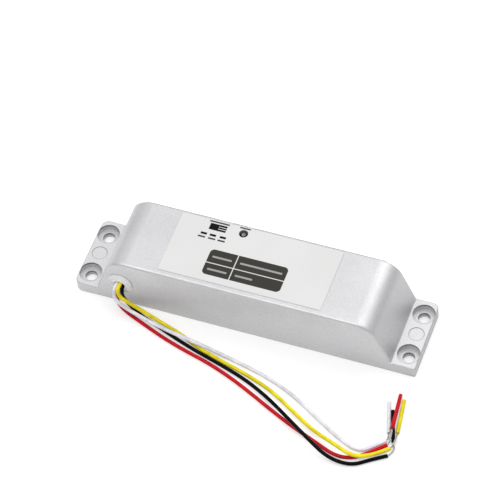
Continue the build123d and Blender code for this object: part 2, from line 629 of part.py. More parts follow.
def fork_slot(pin_radius, start):
    """The open slot of a fork: a round bottom and parallel sides, along +X."""
    half = pin_radius + LEVER_SLOT_GAP
    slot = Pos(start + half, 0) * Circle(half)
    return slot + Pos(start + half + LEVER_LONG_ARM, 0) * Rectangle(2 * LEVER_LONG_ARM, 2 * half)


def lever():
    """The bell crank: a long fork for the bolt's pin and a short fork for the plunger's pin."""
    arm = LEVER_ARM_WIDTH / 2
    prong = BOLT_PIN_RADIUS + LEVER_SLOT_GAP + LEVER_PRONG
    neck = LEVER_LONG_ARM - 2 * BOLT_PIN_RADIUS
    tip = LEVER_LONG_ARM + LONG_FORK_REACH
    long_arm = make_face(Polyline(
        (0, -arm), (neck - arm, -arm), (neck, -prong), (tip, -prong),
        (tip, prong), (neck, prong), (neck - arm, arm), (0, arm), close=True,
    ))
    long_arm = fillet(long_arm.vertices().group_by(Axis.X)[-1], LEVER_PRONG / 2)
    long_arm -= fork_slot(BOLT_PIN_RADIUS, LEVER_LONG_ARM - BOLT_PIN_RADIUS - 2 * LEVER_SLOT_GAP)

    short_half = FORK_PIN_RADIUS + LEVER_SLOT_GAP + SHORT_PRONG
    short_tip = LEVER_SHORT_ARM + SHORT_FORK_REACH
    short_arm = Pos(short_tip / 2, 0) * Rectangle(short_tip, 2 * short_half)
    short_arm = fillet(short_arm.vertices().group_by(Axis.X)[-1], SHORT_PRONG / 2)
    hub = Circle(LEVER_HUB_RADIUS)
    short_arm = (short_arm + hub) - fork_slot(
        FORK_PIN_RADIUS, LEVER_SHORT_ARM - FORK_PIN_RADIUS - LEVER_SLOT_GAP / 2
    )

    plate = Rot(0, 0, 180 + HALF_SWING) * long_arm + Rot(0, 0, -90 + HALF_SWING) * short_arm
    half = LEVER_THICKNESS / 2
    body = extrude(Plane.XY.offset(BOLT_Z - half) * Pos(PIVOT_X, PIVOT_Y) * plate, LEVER_THICKNESS)
    bottom = sleeve_bottom()
    body += rod_z(PIVOT_X, PIVOT_Y, bottom, bottom + LEVER_SLEEVE_LENGTH, LEVER_SLEEVE_RADIUS)
    return body - rod_z(PIVOT_X, PIVOT_Y, 0, LOCK_HEIGHT, PIVOT_PIN_RADIUS + PIVOT_RUNNING_GAP)


def clip_groove_bottom():
    """The height of the groove above the lever's sleeve."""
    return sleeve_bottom() + LEVER_SLEEVE_LENGTH + PIVOT_SIDE_GAP


def lever_pivot_pin():
    """The fixed pin that the lever turns on, grooved for its clip."""
    top = clip_groove_bottom() + 2 * CLIP_THICKNESS
    pin = rod_z(PIVOT_X, PIVOT_Y, WALL + 1, top, PIVOT_PIN_RADIUS)
    groove = rod_z(
        PIVOT_X, PIVOT_Y, clip_groove_bottom(), clip_groove_bottom() + CLIP_THICKNESS, PIVOT_PIN_RADIUS
    )
    core = rod_z(PIVOT_X, PIVOT_Y, 0, LOCK_HEIGHT, PIVOT_PIN_RADIUS - CLIP_GROOVE)
    return pin - (groove - core)


def open_clip(radius, bore):
    """A retaining clip's outline: a ring with an open mouth towards +X."""
    mouth = 2 * bore * CLIP_MOUTH_SHARE
    return Circle(radius) - Circle(bore) - Pos(radius, 0) * Rectangle(2 * radius, mouth)


def pivot_clip():
    """The retaining clip above the lever."""
    outline = Rot(0, 0, 90) * open_clip(CLIP_RADIUS, PIVOT_PIN_RADIUS - CLIP_GROOVE + PIN_FIT)
    gap = SEAT_GAP
    base = clip_groove_bottom() + gap
    return extrude(Plane.XY.offset(base) * Pos(PIVOT_X, PIVOT_Y) * outline, CLIP_THICKNESS - 2 * gap)


def solenoid_frame():
    """The bent steel strap round the coil, open above and at both sides."""
    low = COIL_Y - FRAME_WIDTH / 2
    high = COIL_Y + FRAME_WIDTH / 2
    top = WALL + FRAME_HEIGHT
    frame = block((FRAME_X, low, WALL), (FRAME_END_X, high, top))
    frame -= block((COIL_X, low - 1, WALL + FRAME_THICKNESS), (COIL_X + COIL_LENGTH, high + 1, top + 1))
    outer_bends = frame.edges().filter_by(Axis.Y).group_by(Axis.Z)[0]
    frame = fillet(outer_bends, FRAME_BEND_RADIUS)
    frame -= rod_x(COIL_Y, BOLT_Z, FRAME_X - 1, COIL_X + 1, CORE_NECK_RADIUS + PIN_FIT)
    frame -= rod_x(COIL_Y, BOLT_Z, FRAME_END_X - FRAME_THICKNESS - 1, FRAME_END_X + 1, BOBBIN_BORE)
    for x, y in solenoid_screw_places():
        frame -= rod_z(x, y, 0, WALL + FRAME_THICKNESS + 1, SOLENOID_SCREW_RADIUS + THREAD_CLEARANCE)
    return frame


def solenoid_bobbin():
    """The coil former: a flanged tube."""
    tube_radius = BOBBIN_BORE + BOBBIN_TUBE
    end = COIL_X + COIL_LENGTH
    former = rod_x(COIL_Y, BOLT_Z, COIL_X, end, tube_radius)
    former += rod_x(COIL_Y, BOLT_Z, COIL_X, COIL_X + BOBBIN_FLANGE, BOBBIN_FLANGE_RADIUS)
    former += rod_x(COIL_Y, BOLT_Z, end - BOBBIN_FLANGE, end, BOBBIN_FLANGE_RADIUS)
    return former - rod_x(COIL_Y, BOLT_Z, COIL_X - 1, end + 1, BOBBIN_BORE)


def solenoid_winding():
    """The copper winding between the flanges."""
    low = COIL_X + BOBBIN_FLANGE
    high = COIL_X + COIL_LENGTH - BOBBIN_FLANGE
    winding = rod_x(COIL_Y, BOLT_Z, low, high, COIL_RADIUS)
    return winding - rod_x(COIL_Y, BOLT_Z, low - 1, high + 1, BOBBIN_BORE + BOBBIN_TUBE)


def solenoid_core():
    """The fixed pole piece, its neck staked in the frame, bored for the push rod."""
    core = rod_x(COIL_Y, BOLT_Z, COIL_X, COIL_X + CORE_LENGTH, BOBBIN_BORE - PIN_FIT)
    core += rod_x(COIL_Y, BOLT_Z, FRAME_X, COIL_X, CORE_NECK_RADIUS)
    return core - rod_x(COIL_Y, BOLT_Z, FRAME_X - 1, COIL_X + CORE_LENGTH + 1, ROD_RADIUS + ROD_GAP)


def plunger():
    """The steel plunger, bored at its front for the push rod and grooved for the spring's clip."""
    body = rod_x(COIL_Y, BOLT_Z, PLUNGER_X, PLUNGER_END_X, PLUNGER_RADIUS)
    body = chamfer(body.edges().sort_by(Axis.X)[-1], PLUNGER_CHAMFER)
    body -= rod_x(COIL_Y, BOLT_Z, PLUNGER_X - 1, PLUNGER_X + ROD_HOLE_DEPTH, ROD_RADIUS + PIN_FIT)
    groove_end = PLUNGER_CLIP_X + PLUNGER_CLIP_THICKNESS
    groove = rod_x(COIL_Y, BOLT_Z, PLUNGER_CLIP_X, groove_end, PLUNGER_RADIUS + 1)
    neck = PLUNGER_RADIUS - PLUNGER_CLIP_GROOVE
    return body - (groove - rod_x(COIL_Y, BOLT_Z, PLUNGER_CLIP_X, groove_end, neck))


def plunger_clip():
    """The open clip that the return spring pushes on."""
    gap = SEAT_GAP
    bore = PLUNGER_RADIUS - PLUNGER_CLIP_GROOVE + PIN_FIT
    plane = Plane(origin=(PLUNGER_CLIP_X + gap, COIL_Y, BOLT_Z), x_dir=(0, 0, 1), z_dir=(1, 0, 0))
    return extrude(plane * open_clip(PLUNGER_CLIP_RADIUS, bore), PLUNGER_CLIP_THICKNESS - 2 * gap)


def plunger_spring():
    """The return spring, a round wire wound round the plunger's outer end."""
    low = FRAME_END_X + SPRING_WIRE / 2 + SEAT_GAP
    high = PLUNGER_CLIP_X - SPRING_WIRE / 2
    height = high - low
    helix = Helix(height / SPRING_TURNS, height, SPRING_RADIUS)
    start = Plane(origin=helix @ 0, x_dir=(1, 0, 0), z_dir=helix % 0)
    wire = sweep(start * Rectangle(SPRING_WIRE, SPRING_WIRE), path=helix, is_frenet=True)
    return Pos(low, COIL_Y, BOLT_Z) * Rot(0, 90, 0) * wire


def push_fork():
    """The push rod from the plunger and its forked head."""
    gap = LEVER_THICKNESS / 2 + LEVER_SIDE_GAP
    outer = gap + FORK_EAR_THICKNESS
    ears = rod_z(FORK_PIN_X, COIL_Y, BOLT_Z - outer, BOLT_Z + outer, FORK_EAR_RADIUS)
    ears += block(
        (FORK_PIN_X, COIL_Y - FORK_EAR_RADIUS, BOLT_Z - outer),
        (FORK_BLOCK_X + FORK_BLOCK_LENGTH, COIL_Y + FORK_EAR_RADIUS, BOLT_Z + outer),
    )
    ears -= block(
        (FORK_PIN_X - 2 * FORK_EAR_RADIUS, COIL_Y - 2 * FORK_EAR_RADIUS, BOLT_Z - gap),
        (FORK_BLOCK_X, COIL_Y + 2 * FORK_EAR_RADIUS, BOLT_Z + gap),
    )
    ears -= rod_z(FORK_PIN_X, COIL_Y, 0, LOCK_HEIGHT, FORK_PIN_RADIUS + PIN_FIT)
    rod_start = FORK_BLOCK_X + FORK_BLOCK_LENGTH
    return ears + rod_x(COIL_Y, BOLT_Z, rod_start, PLUNGER_X + ROD_HOLE_DEPTH - SEAT_GAP, ROD_RADIUS)


def fork_pin():
    """The pin across the fork's ears."""
    outer = LEVER_THICKNESS / 2 + LEVER_SIDE_GAP + FORK_EAR_THICKNESS
    return rod_z(FORK_PIN_X, COIL_Y, BOLT_Z - outer, BOLT_Z + outer, FORK_PIN_RADIUS)


def solenoid_screw(x, y):
    """One countersunk screw up through the mounting face into the frame."""
    screw = Pos(x, y, 0) * countersink(SOLENOID_SCREW_HEAD_RADIUS, SOLENOID_SCREW_RADIUS)
    screw += rod_z(x, y, 1, SOLENOID_SCREW_LENGTH, SOLENOID_SCREW_RADIUS)
    for turn in (0, 90):
        screw -= Pos(x, y, 0) * Rot(0, 0, turn) * Box(*CROSS_SLOT)
    return screw


def circuit_board():
    """The board behind the cover, notched round the top screw boss."""
    outline = block((BOARD_LEFT, BOARD_Y, BOARD_BOTTOM), (BOARD_RIGHT, BOARD_FRONT, BOARD_TOP))
    notch = SCREW_BOSS_RADIUS + BOARD_BOSS_GAP
    x, z = COVER_SCREW_PLACES[2]
    outline -= rod_y(x, z, BOARD_Y - 1, BOARD_FRONT + 1, notch)
    outline -= block((x - notch, BOARD_Y - 1, z), (x + notch, BOARD_FRONT + 1, LOCK_HEIGHT))
    for x, z, radius in BOARD_POSTS:
        outline -= rod_y(x, z, BOARD_Y - 1, BOARD_FRONT + 1, BOARD_SCREW_RADIUS + SEAT_GAP)
    return outline


def board_screw(x, z):
    """One pan head screw that holds the board to its post."""
    screw = rod_y(x, z, BOARD_FRONT, BOARD_FRONT + BOARD_SCREW_HEAD, BOARD_SCREW_HEAD_RADIUS)
    screw = chamfer(screw.edges().sort_by(Axis.Y)[-1], BOARD_SCREW_HEAD / 2)
    end = BOARD_FRONT - BOARD_SCREW_LENGTH
    screw += rod_y(x, z, end, BOARD_FRONT, BOARD_SCREW_RADIUS)
    length, width = BOARD_SCREW_SLOT
    return screw - block(
        (x - length / 2, BOARD_FRONT + BOARD_SCREW_HEAD / 2, z - width / 2),
        (x + length / 2, BOARD_FRONT + 2 * BOARD_SCREW_HEAD, z + width / 2),
    )


def leaded(body, ends, radius, y):
    """Add a bent lead from each end of an axial part down to the board."""
    for x, z, reach in ends:
        foot_x = x + reach
        body += tube(((x, y, z), (foot_x, y, z), (foot_x, BOARD_FRONT, z)), radius, LEAD_SIDES)
    return body


def reed_switch():
    """The glass position switch on its two leads."""
    y = BOARD_FRONT + REED_LIFT
    half = REED_LENGTH / 2 - LEAD_BEND_REACH
    body = rod_x(y, REED_Z, REED_X - half, REED_X + half, REED_RADIUS)
    body = chamfer(body.edges().filter_by(GeomType.CIRCLE), REED_RADIUS / 2)
    ends = ((REED_X - half, REED_Z, -LEAD_BEND_REACH), (REED_X + half, REED_Z, LEAD_BEND_REACH))
    return leaded(body, ends, PART_LEAD_RADIUS, y)


def flyback_diode():
    """The diode across the coil, with its bent leads."""
    y = BOARD_FRONT + DIODE_RADIUS + SEAT_GAP
    half = DIODE_LENGTH / 2
    body = rod_x(y, DIODE_Z, DIODE_X - half, DIODE_X + half, DIODE_RADIUS)
    ends = ((DIODE_X - half, DIODE_Z, -LEAD_BEND_REACH), (DIODE_X + half, DIODE_Z, LEAD_BEND_REACH))
    return leaded(body, ends, PART_LEAD_RADIUS, y)


def control_chip():
    """The timer and control chip, with its legs bent down to the board."""
    length, height, width = CHIP_SIZE
    body = block(
        (CHIP_X - length / 2, BOARD_FRONT + CHIP_LIFT, CHIP_Z - width / 2),
        (CHIP_X + length / 2, BOARD_FRONT + height, CHIP_Z + width / 2),
    )
    leg_y = BOARD_FRONT + height / 2
    leg_top = leg_y + CHIP_LEG_THICKNESS
    half = CHIP_LEG_WIDTH / 2
    for number in range(CHIP_LEGS):
        x = CHIP_X + (number - (CHIP_LEGS - 1) / 2) * CHIP_LEG_PITCH
        for side in (-1, 1):
            edge = CHIP_Z + side * width / 2
            foot = edge + side * CHIP_LEG_REACH
            low, high = sorted((edge, foot))
            body += block((x - half, leg_y, low), (x + half, leg_top, high))
            low, high = sorted((foot, foot - side * CHIP_LEG_THICKNESS))
            body += block((x - half, BOARD_FRONT, low), (x + half, leg_top, high))
    return body


def driver_transistor():
    """The surface-mounted transistor that drives the coil."""
    length, height, width = TRANSISTOR_SIZE
    tab_length, tab_height, tab_width = TRANSISTOR_TAB
    leg_width, leg_height, leg_length = TRANSISTOR_LEG
    bottom = TRANSISTOR_Z - width / 2
    top = TRANSISTOR_Z + width / 2
    body = block(
        (TRANSISTOR_X - length / 2, BOARD_FRONT, bottom),
        (TRANSISTOR_X + length / 2, BOARD_FRONT + height, top),
    )
    body += block(
        (TRANSISTOR_X - tab_length / 2, BOARD_FRONT, top),
        (TRANSISTOR_X + tab_length / 2, BOARD_FRONT + tab_height, top + tab_width),
    )
    for side in (-1, 1):
        x = TRANSISTOR_X + side * length / 3
        body += block(
            (x - leg_width / 2, BOARD_FRONT, bottom - leg_length),
            (x + leg_width / 2, BOARD_FRONT + leg_height, bottom),
        )
    return body


def filter_capacitor():
    """The capacitor behind the board: a can with a rolled neck, on two leads."""
    high = BOARD_Y - CAPACITOR_LIFT
    low = high - CAPACITOR_LENGTH
    can = rod_y(CAPACITOR_X, CAPACITOR_Z, low, high, CAPACITOR_RADIUS)
    can = chamfer(can.edges().filter_by(GeomType.CIRCLE), CAPACITOR_EDGE)
    near, far, depth = CAPACITOR_GROOVE
    groove = rod_y(CAPACITOR_X, CAPACITOR_Z, high - far, high - near, CAPACITOR_RADIUS + depth)
    can -= groove - rod_y(CAPACITOR_X, CAPACITOR_Z, high - far, high - near, CAPACITOR_RADIUS - depth)
    for side in (-1, 1):
        x = CAPACITOR_X + side * CAPACITOR_LEAD_PITCH / 2
        can += rod_y(x, CAPACITOR_Z, high - near, BOARD_Y, PART_LEAD_RADIUS)
    return can


def header_pin_x(number):
    """The place of one header pin along X."""
    return HEADER_X + (number - (HEADER_PINS - 1) / 2) * HEADER_PITCH


def timer_header():
    """The pin header that sets the locking delay."""
    half = HEADER_PITCH / 2
    body = block(
        (header_pin_x(0) - half, BOARD_FRONT, HEADER_Z - half),
        (header_pin_x(HEADER_PINS - 1) + half, BOARD_FRONT + HEADER_BASE, HEADER_Z + half),
    )
    pin = HEADER_PIN / 2
    for number in range(HEADER_PINS):
        x = header_pin_x(number)
        body += block(
            (x - pin, BOARD_FRONT + HEADER_BASE, HEADER_Z - pin),
            (x + pin, BOARD_FRONT + HEADER_BASE + HEADER_PIN_HEIGHT, HEADER_Z + pin),
        )
    return body


def timer_jumper():
    """The jumper cap on two of the header's pins."""
    length, height, width = JUMPER_SIZE
    middle = (header_pin_x(0) + header_pin_x(1)) / 2
    low = BOARD_FRONT + HEADER_BASE + SEAT_GAP
    cap = block((middle - length / 2, low, HEADER_Z - width / 2),
                (middle + length / 2, low + height, HEADER_Z + width / 2))
    hole = HEADER_PIN / 2 + SEAT_GAP
    for number in (0, 1):
        x = header_pin_x(number)
        cap -= block((x - hole, low - 1, HEADER_Z - hole), (x + hole, low + height + 1, HEADER_Z + hole))
    return cap


def lead_connector():
    """The four-way connector behind the board that the wires plug into."""
    length, depth, height = CONNECTOR_SIZE
    low = BOARD_Y - depth
    return block((CONNECTOR_X - length / 2, low, CONNECTOR_Z - height / 2),
                 (CONNECTOR_X + length / 2, BOARD_Y, CONNECTOR_Z + height / 2))


def lead_routes():
    """The four leads inside, from the joints in the grommet to the connector."""
    near = REAR_WALL_Y + GROMMET_BACK_THICKNESS + LEAD_WALL_GAP + WIRE_RADIUS
    far = near + WIRE_PITCH
    upper, lower = (BOLT_Z + lift for lift in LEAD_LANE_LIFTS)
    bend_x = GROMMET_X + 3 * WIRE_PITCH
    mouth = BOARD_Y - CONNECTOR_SIZE[1]
    lanes = (
        (WIRE_LEFT, WIRE_UPPER, far, upper), (WIRE_LEFT, WIRE_LOWER, far, lower),
        (WIRE_RIGHT, WIRE_UPPER, near, upper), (WIRE_RIGHT, WIRE_LOWER, near, lower),
    )
    routes = []
    for way, (x, z, lane_y, lane_z) in enumerate(lanes):
        place = CONNECTOR_X + (way - 1.5) * CONNECTOR_PITCH
        routes.append((
            (x, LEAD_JOINT_Y, z), (x, lane_y, z), (bend_x, lane_y, lane_z),
            (place - 2 * WIRE_PITCH, lane_y + LEAD_STEP, lane_z),
            (place, lane_y + LEAD_TURN, lane_z + LEAD_RISE),
            (place, mouth - LEAD_STRAIGHT, CONNECTOR_Z), (place, mouth, CONNECTOR_Z),
        ))
    return routes


def inner_leads():
    """The four insulated leads inside the housing."""
    return [tube(route, WIRE_RADIUS) for route in lead_routes()]


def coil_leads():
    """The two ends of the winding, led to the board."""
    leads = []
    side = COIL_Y + COIL_RADIUS + SEAT_GAP
    middle = (side + BOARD_Y) / 2
    step = COIL_LEAD_RADIUS * 3
    for share in COIL_LEAD_SHARES:
        x = COIL_X + COIL_LENGTH * share
        leads.append(tube(
            ((x, side, BOLT_Z), (x, middle, BOLT_Z), (x + step, BOARD_Y - step, BOLT_Z + step),
             (x + step, BOARD_Y, BOLT_Z + step)),
            COIL_LEAD_RADIUS,
        ))
    return leads


def corner_radii(points):
    """The radius at each corner of a route: 0.45 of the shorter run over the tangent of half the turn."""
    places = [Vector(*p) for p in points]
    radii = []
    for before, here, after in zip(places, places[1:], places[2:]):
        run = min((here - before).length, (after - here).length)
        half_turn = math.radians((here - before).get_angle(after - here) / 2)
        radii.append(CORNER_SHARE * run / math.tan(half_turn))
    return radii


def centre_line(points):
    """Straight runs joined by tangent arcs."""
    return FilletPolyline(*points, radius=corner_radii(points))


def tube(points, radius, sides=TUBE_SIDES):
    """A tube along a route of straight runs and tangent arcs; its flats keep the facets few."""
    line = centre_line(points)
    start = Plane(origin=line @ 0, z_dir=line % 0)
    return sweep(start * RegularPolygon(radius, sides), path=line)


def wire(colour):
    """One outer wire, from the joint in the grommet to its cut end."""
    points = WIRE_ROUTES[colour]
    body = tube(points, WIRE_RADIUS)
    length = centre_line(points).length
    expected = RegularPolygon(WIRE_RADIUS, TUBE_SIDES).area * length
    radii = [round(r, 1) for r in corner_radii(points)]
    print(f"{colour} wire: {length:.1f} mm, volume {body.volume:.2f} of {expected:.2f}, radii {radii}")
    return body


def strands(colour):
    """The bared copper strands, from a wire's cut end to its loose piece of insulation."""
    before, end = (Vector(*p) for p in WIRE_ROUTES[colour][-2:])
    low, high = (Vector(*p) for p in SLUG_ENDS[colour])
    leave = end + (end - before).normalized() * STRAND_LEAD
    arrive = low - (high - low).normalized() * STRAND_LEAD
    return tube((end, leave, *STRAND_BENDS[colour], arrive, low), STRAND_RADIUS)


def slug(colour):
    """The cut piece of insulation left on the strands' tips."""
    low, high = (Vector(*p) for p in SLUG_ENDS[colour])
    return extrude(Plane(origin=low, z_dir=high - low) * Circle(WIRE_RADIUS), (high - low).length)


def save(name, *solids):
    """Write one node: a single solid, or several like ones."""
    flat = [solid for shape in solids for solid in shape.solids()]
    shape = flat[0] if len(flat) == 1 else Compound(children=flat)
    shape.label = name
    export_step(shape, f"parts/{name}.step")


os.makedirs("parts", exist_ok=True)
save("housing", housing())
save("cover_plate", cover_plate())
save("cover_screws", *[cover_screw(x, z) for x, z in COVER_SCREW_PLACES])
save("rating_label", rating_label())
save("indicator_led", indicator_led())
save("wire_grommet", wire_grommet())
save("bolt_guide", bolt_guide())
save("bolt", bolt())
save("bolt_pin", bolt_pin())
save("lever", lever())
save("lever_pivot_pin", lever_pivot_pin())
save("pivot_clip", pivot_clip())
save("solenoid_frame", solenoid_frame())
save("solenoid_bobbin", solenoid_bobbin())
save("solenoid_winding", solenoid_winding())
save("solenoid_core", solenoid_core())
save("solenoid_screws", *[solenoid_screw(x, y) for x, y in solenoid_screw_places()])
save("plunger", plunger())
save("plunger_clip", plunger_clip())
save("plunger_spring", plunger_spring())
save("push_fork", push_fork())
save("fork_pin", fork_pin())
save("circuit_board", circuit_board())
save("board_screws", *[board_screw(x, z) for x, z, radius in BOARD_POSTS])
save("reed_switch", reed_switch())
save("flyback_diode", flyback_diode())
save("control_chip", control_chip())
save("driver_transistor", driver_transistor())
save("filter_capacitor", filter_capacitor())
save("timer_header", timer_header())
save("timer_jumper", timer_jumper())
save("lead_connector", lead_connector())
save("inner_leads", *inner_leads())
save("coil_leads", *coil_leads())
for colour in WIRE_ROUTES:
    save(f"wire_{colour}", wire(colour))
    save(f"strands_{colour}", strands(colour))
    save(f"slug_{colour}", slug(colour))
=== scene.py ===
# Electric drop bolt lock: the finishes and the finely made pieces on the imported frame.
# Lengths are in metres. Z is up from the mounting face and the wires leave on the -Y side.
import math

import bmesh
import bpy
from mathutils import Matrix, Vector


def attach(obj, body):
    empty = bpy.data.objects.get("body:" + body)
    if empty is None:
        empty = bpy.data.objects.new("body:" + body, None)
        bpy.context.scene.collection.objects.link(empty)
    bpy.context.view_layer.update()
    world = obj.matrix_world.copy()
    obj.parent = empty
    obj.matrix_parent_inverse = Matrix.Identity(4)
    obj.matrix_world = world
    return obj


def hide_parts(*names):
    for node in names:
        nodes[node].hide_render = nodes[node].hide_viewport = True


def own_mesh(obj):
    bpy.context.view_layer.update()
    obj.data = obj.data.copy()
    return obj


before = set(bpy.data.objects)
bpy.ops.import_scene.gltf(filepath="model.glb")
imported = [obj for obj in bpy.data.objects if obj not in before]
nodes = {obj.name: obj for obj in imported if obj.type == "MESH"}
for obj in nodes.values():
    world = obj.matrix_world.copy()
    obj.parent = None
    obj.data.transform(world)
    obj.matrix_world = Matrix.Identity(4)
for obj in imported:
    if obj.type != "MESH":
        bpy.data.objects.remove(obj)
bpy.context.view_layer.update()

mm = 0.001
print("frame loaded:", len(nodes), "nodes")

# The camera, at the photograph's angle and framing
cameraView = {
    "azimuth": 25.7,
    "elevation": 53.722,
    "roll": -7.087,
    "distance": 1.174973,
    "across": -0.0069,
    "upward": 0.025124,
    "focalPixels": 2812.463,
    "frameWidth": 480,
    "sensorWidth": 36,
}


def makeCamera(view):
    turns = ("azimuth", "elevation", "roll")
    azimuth, elevation, roll = (math.radians(view[turn]) for turn in turns)
    back = Vector((
        math.sin(azimuth) * math.cos(elevation),
        -math.cos(azimuth) * math.cos(elevation),
        math.sin(elevation),
    ))
    right = Vector((math.cos(azimuth), math.sin(azimuth), 0))
    up = back.cross(right)
    right, up = (
        math.cos(roll) * right + math.sin(roll) * up,
        math.cos(roll) * up - math.sin(roll) * right,
    )
    data = bpy.data.cameras.new("camera")
    data.sensor_fit = "HORIZONTAL"
    data.sensor_width = view["sensorWidth"]
    data.lens = view["focalPixels"] / view["frameWidth"] * view["sensorWidth"]
    camera = bpy.data.objects.new("camera", data)
    place = back * view["distance"] + right * view["across"] + up * view["upward"]
    facing = Matrix((right, up, back)).transposed().to_4x4()
    camera.matrix_world = Matrix.Translation(place) @ facing
    bpy.context.collection.objects.link(camera)
    bpy.context.scene.camera = camera


makeCamera(cameraView)

# The four wires, from the joint inside the grommet to the cut end
wires = {
    "radius": 0.0008,
    "roundness": 5,
    "steps": 10,
    "lengths": {"yellow": 0.1509, "white": 0.1482, "black": 0.1521, "red": 0.1532},
    "routes": {
        "yellow": (
            (-0.05235, -0.0155, 0.01425), (-0.0534, -0.0203, 0.01445), (-0.0526, -0.0214, 0.0098),
            (-0.0472, -0.0214, 0.0062), (-0.0412, -0.0218, 0.0034), (-0.034, -0.0228, 0.0008),
            (-0.0255, -0.0254, 0.0008), (-0.0145, -0.0303, 0.0008), (-0.003, -0.0336, 0.0008),
            (0.0095, -0.0368, 0.0008), (0.022, -0.0413, 0.0008), (0.0335, -0.0482, 0.0008),
            (0.0445, -0.0546, 0.0014), (0.0545, -0.0594, 0.0042), (0.0635, -0.0628, 0.0042),
            (0.0705, -0.0586, 0.0016), (0.076, -0.0528, 0.0008),
        ),
        "white": (
            (-0.05405, -0.0155, 0.01425), (-0.05505, -0.0201, 0.01325), (-0.0543, -0.0226, 0.0092),
            (-0.0497, -0.0232, 0.0056), (-0.043, -0.0246, 0.0044), (-0.0335, -0.027, 0.0044),
            (-0.024, -0.0289, 0.0044), (-0.015, -0.0298, 0.0036), (-0.0055, -0.0302, 0.0008),
            (0.007, -0.0328, 0.0008), (0.0195, -0.0359, 0.0008), (0.032, -0.0412, 0.0008),
            (0.044, -0.0483, 0.0008), (0.055, -0.0545, 0.0008), (0.0645, -0.0582, 0.0008),
            (0.0699, -0.0534, 0.0008), (0.0734, -0.0497, 0.0008),
        ),
        "black": (
            (-0.05235, -0.0155, 0.01255), (-0.0518, -0.0193, 0.01295), (-0.0519, -0.0197, 0.0078),
            (-0.0492, -0.0199, 0.0034), (-0.0443, -0.0216, 0.0008), (-0.0355, -0.0247, 0.0008),
            (-0.0255, -0.0285, 0.0008), (-0.0145, -0.0321, 0.0008), (-0.0025, -0.0354, 0.0008),
            (0.0085, -0.0389, 0.0008), (0.018, -0.0432, 0.0008), (0.026, -0.0484, 0.0024),
            (0.0345, -0.0546, 0.0044), (0.044, -0.0604, 0.0044), (0.0535, -0.0649, 0.0018),
            (0.0635, -0.0652, 0.0008), (0.0705, -0.06, 0.0008), (0.0762, -0.0564, 0.0008),
        ),
        "red": (
            (-0.05405, -0.0155, 0.01255), (-0.0536, -0.0195, 0.01215), (-0.0545, -0.0201, 0.0074),
            (-0.0535, -0.0209, 0.003), (-0.0489, -0.0226, 0.0008), (-0.0412, -0.0256, 0.0008),
            (-0.0315, -0.0294, 0.0008), (-0.02, -0.033, 0.0008), (-0.008, -0.036, 0.0008),
            (0.004, -0.0404, 0.0008), (0.014, -0.0449, 0.0008), (0.0245, -0.05, 0.0008),
            (0.035, -0.0547, 0.0008), (0.0455, -0.0586, 0.0008), (0.056, -0.0628, 0.0008),
            (0.0635, -0.0616, 0.0008), (0.069, -0.0569, 0.0008), (0.0744, -0.0516, 0.0008),
        ),
    },
}

# The bared strands' bends, and the cut-off sleeves left on their tips
strands = {
    "lead": 0.0008,
    "buried": 0.0012,
    "fineWires": 6,
    "fineRadius": 0.000115,
    "layRadius": 0.000228,
    "turnsPerMetre": 190,
    "sampling": 0.0002,
    "wireSides": 6,
    "steps": 12,
    "bends": {
        "yellow": ((0.077, -0.0514, 0.0021), (0.0771, -0.0484, 0.0023)),
        "white": (),
        "black": ((0.0779, -0.0526, 0.0008),),
        "red": ((0.0749, -0.0482, 0.0022),),
    },
}
sleeves = {
    "radius": 0.0008,
    "bore": 0.00042,
    "edge": 0.00012,
    "sides": 28,
    "ends": {
        "yellow": ((0.07665, -0.0452, 0.0008), (0.0744, -0.0293, 0.0008)),
        "white": ((0.0732, -0.0462, 0.0008), (0.0688, -0.0319, 0.0008)),
        "black": ((0.0764, -0.0498, 0.0008), (0.0715, -0.0354, 0.0008)),
        "red": ((0.0744, -0.045, 0.0027), (0.0723, -0.0275, 0.0013)),
    },
}


def linked(name, data):
    made = bpy.data.objects.new(name, data)
    bpy.context.collection.objects.link(made)
    return made


def meshObject(name, shape, smooth=True):
    # shape is a bmesh in metres, freed here
    mesh = bpy.data.meshes.new(name)
    bmesh.ops.remove_doubles(shape, verts=shape.verts, dist=1e-7)
    bmesh.ops.recalc_face_normals(shape, faces=shape.faces)
    shape.to_mesh(mesh)
    shape.free()
    for face in mesh.polygons:
        face.use_smooth = smooth
    return linked(name, mesh)


def splineCurve(name, points, steps):
    data = bpy.data.curves.new(name, "CURVE")
    data.dimensions = "3D"
    data.resolution_u = steps
    spline = data.splines.new("NURBS")
    spline.points.add(len(points) - 1)
    for point, place in zip(spline.points, points):
        point.co = (*place, 1)
    spline.order_u = 3
    spline.use_endpoint_u = True
    return linked(name, data)


def wireCurve(colour):
    curve = splineCurve(f"wire_{colour}_lead", wires["routes"][colour], wires["steps"])
    curve.data.bevel_depth = wires["radius"]
    curve.data.bevel_resolution = wires["roundness"]
    curve.data.use_fill_caps = True
    return curve


wireCurves = {colour: wireCurve(colour) for colour in wires["routes"]}
print("camera and wires made")


# Nodes of a tree, and sums on their sockets
class Term:
    def __init__(self, maker, socket):
        self.maker = maker
        self.socket = socket

    def math(self, operation, *others):
        return self.maker.math(operation, self, *others)

    def __add__(self, other):
        return self.math("ADD", other)

    def __radd__(self, other):
        return self.maker.math("ADD", other, self)

    def __sub__(self, other):
        return self.math("SUBTRACT", other)

    def __rsub__(self, other):
        return self.maker.math("SUBTRACT", other, self)

    def __mul__(self, other):
        return self.math("MULTIPLY", other)

    def __rmul__(self, other):
        return self.maker.math("MULTIPLY", other, self)

    def __truediv__(self, other):
        return self.math("DIVIDE", other)

    def __abs__(self):
        return self.math("ABSOLUTE")


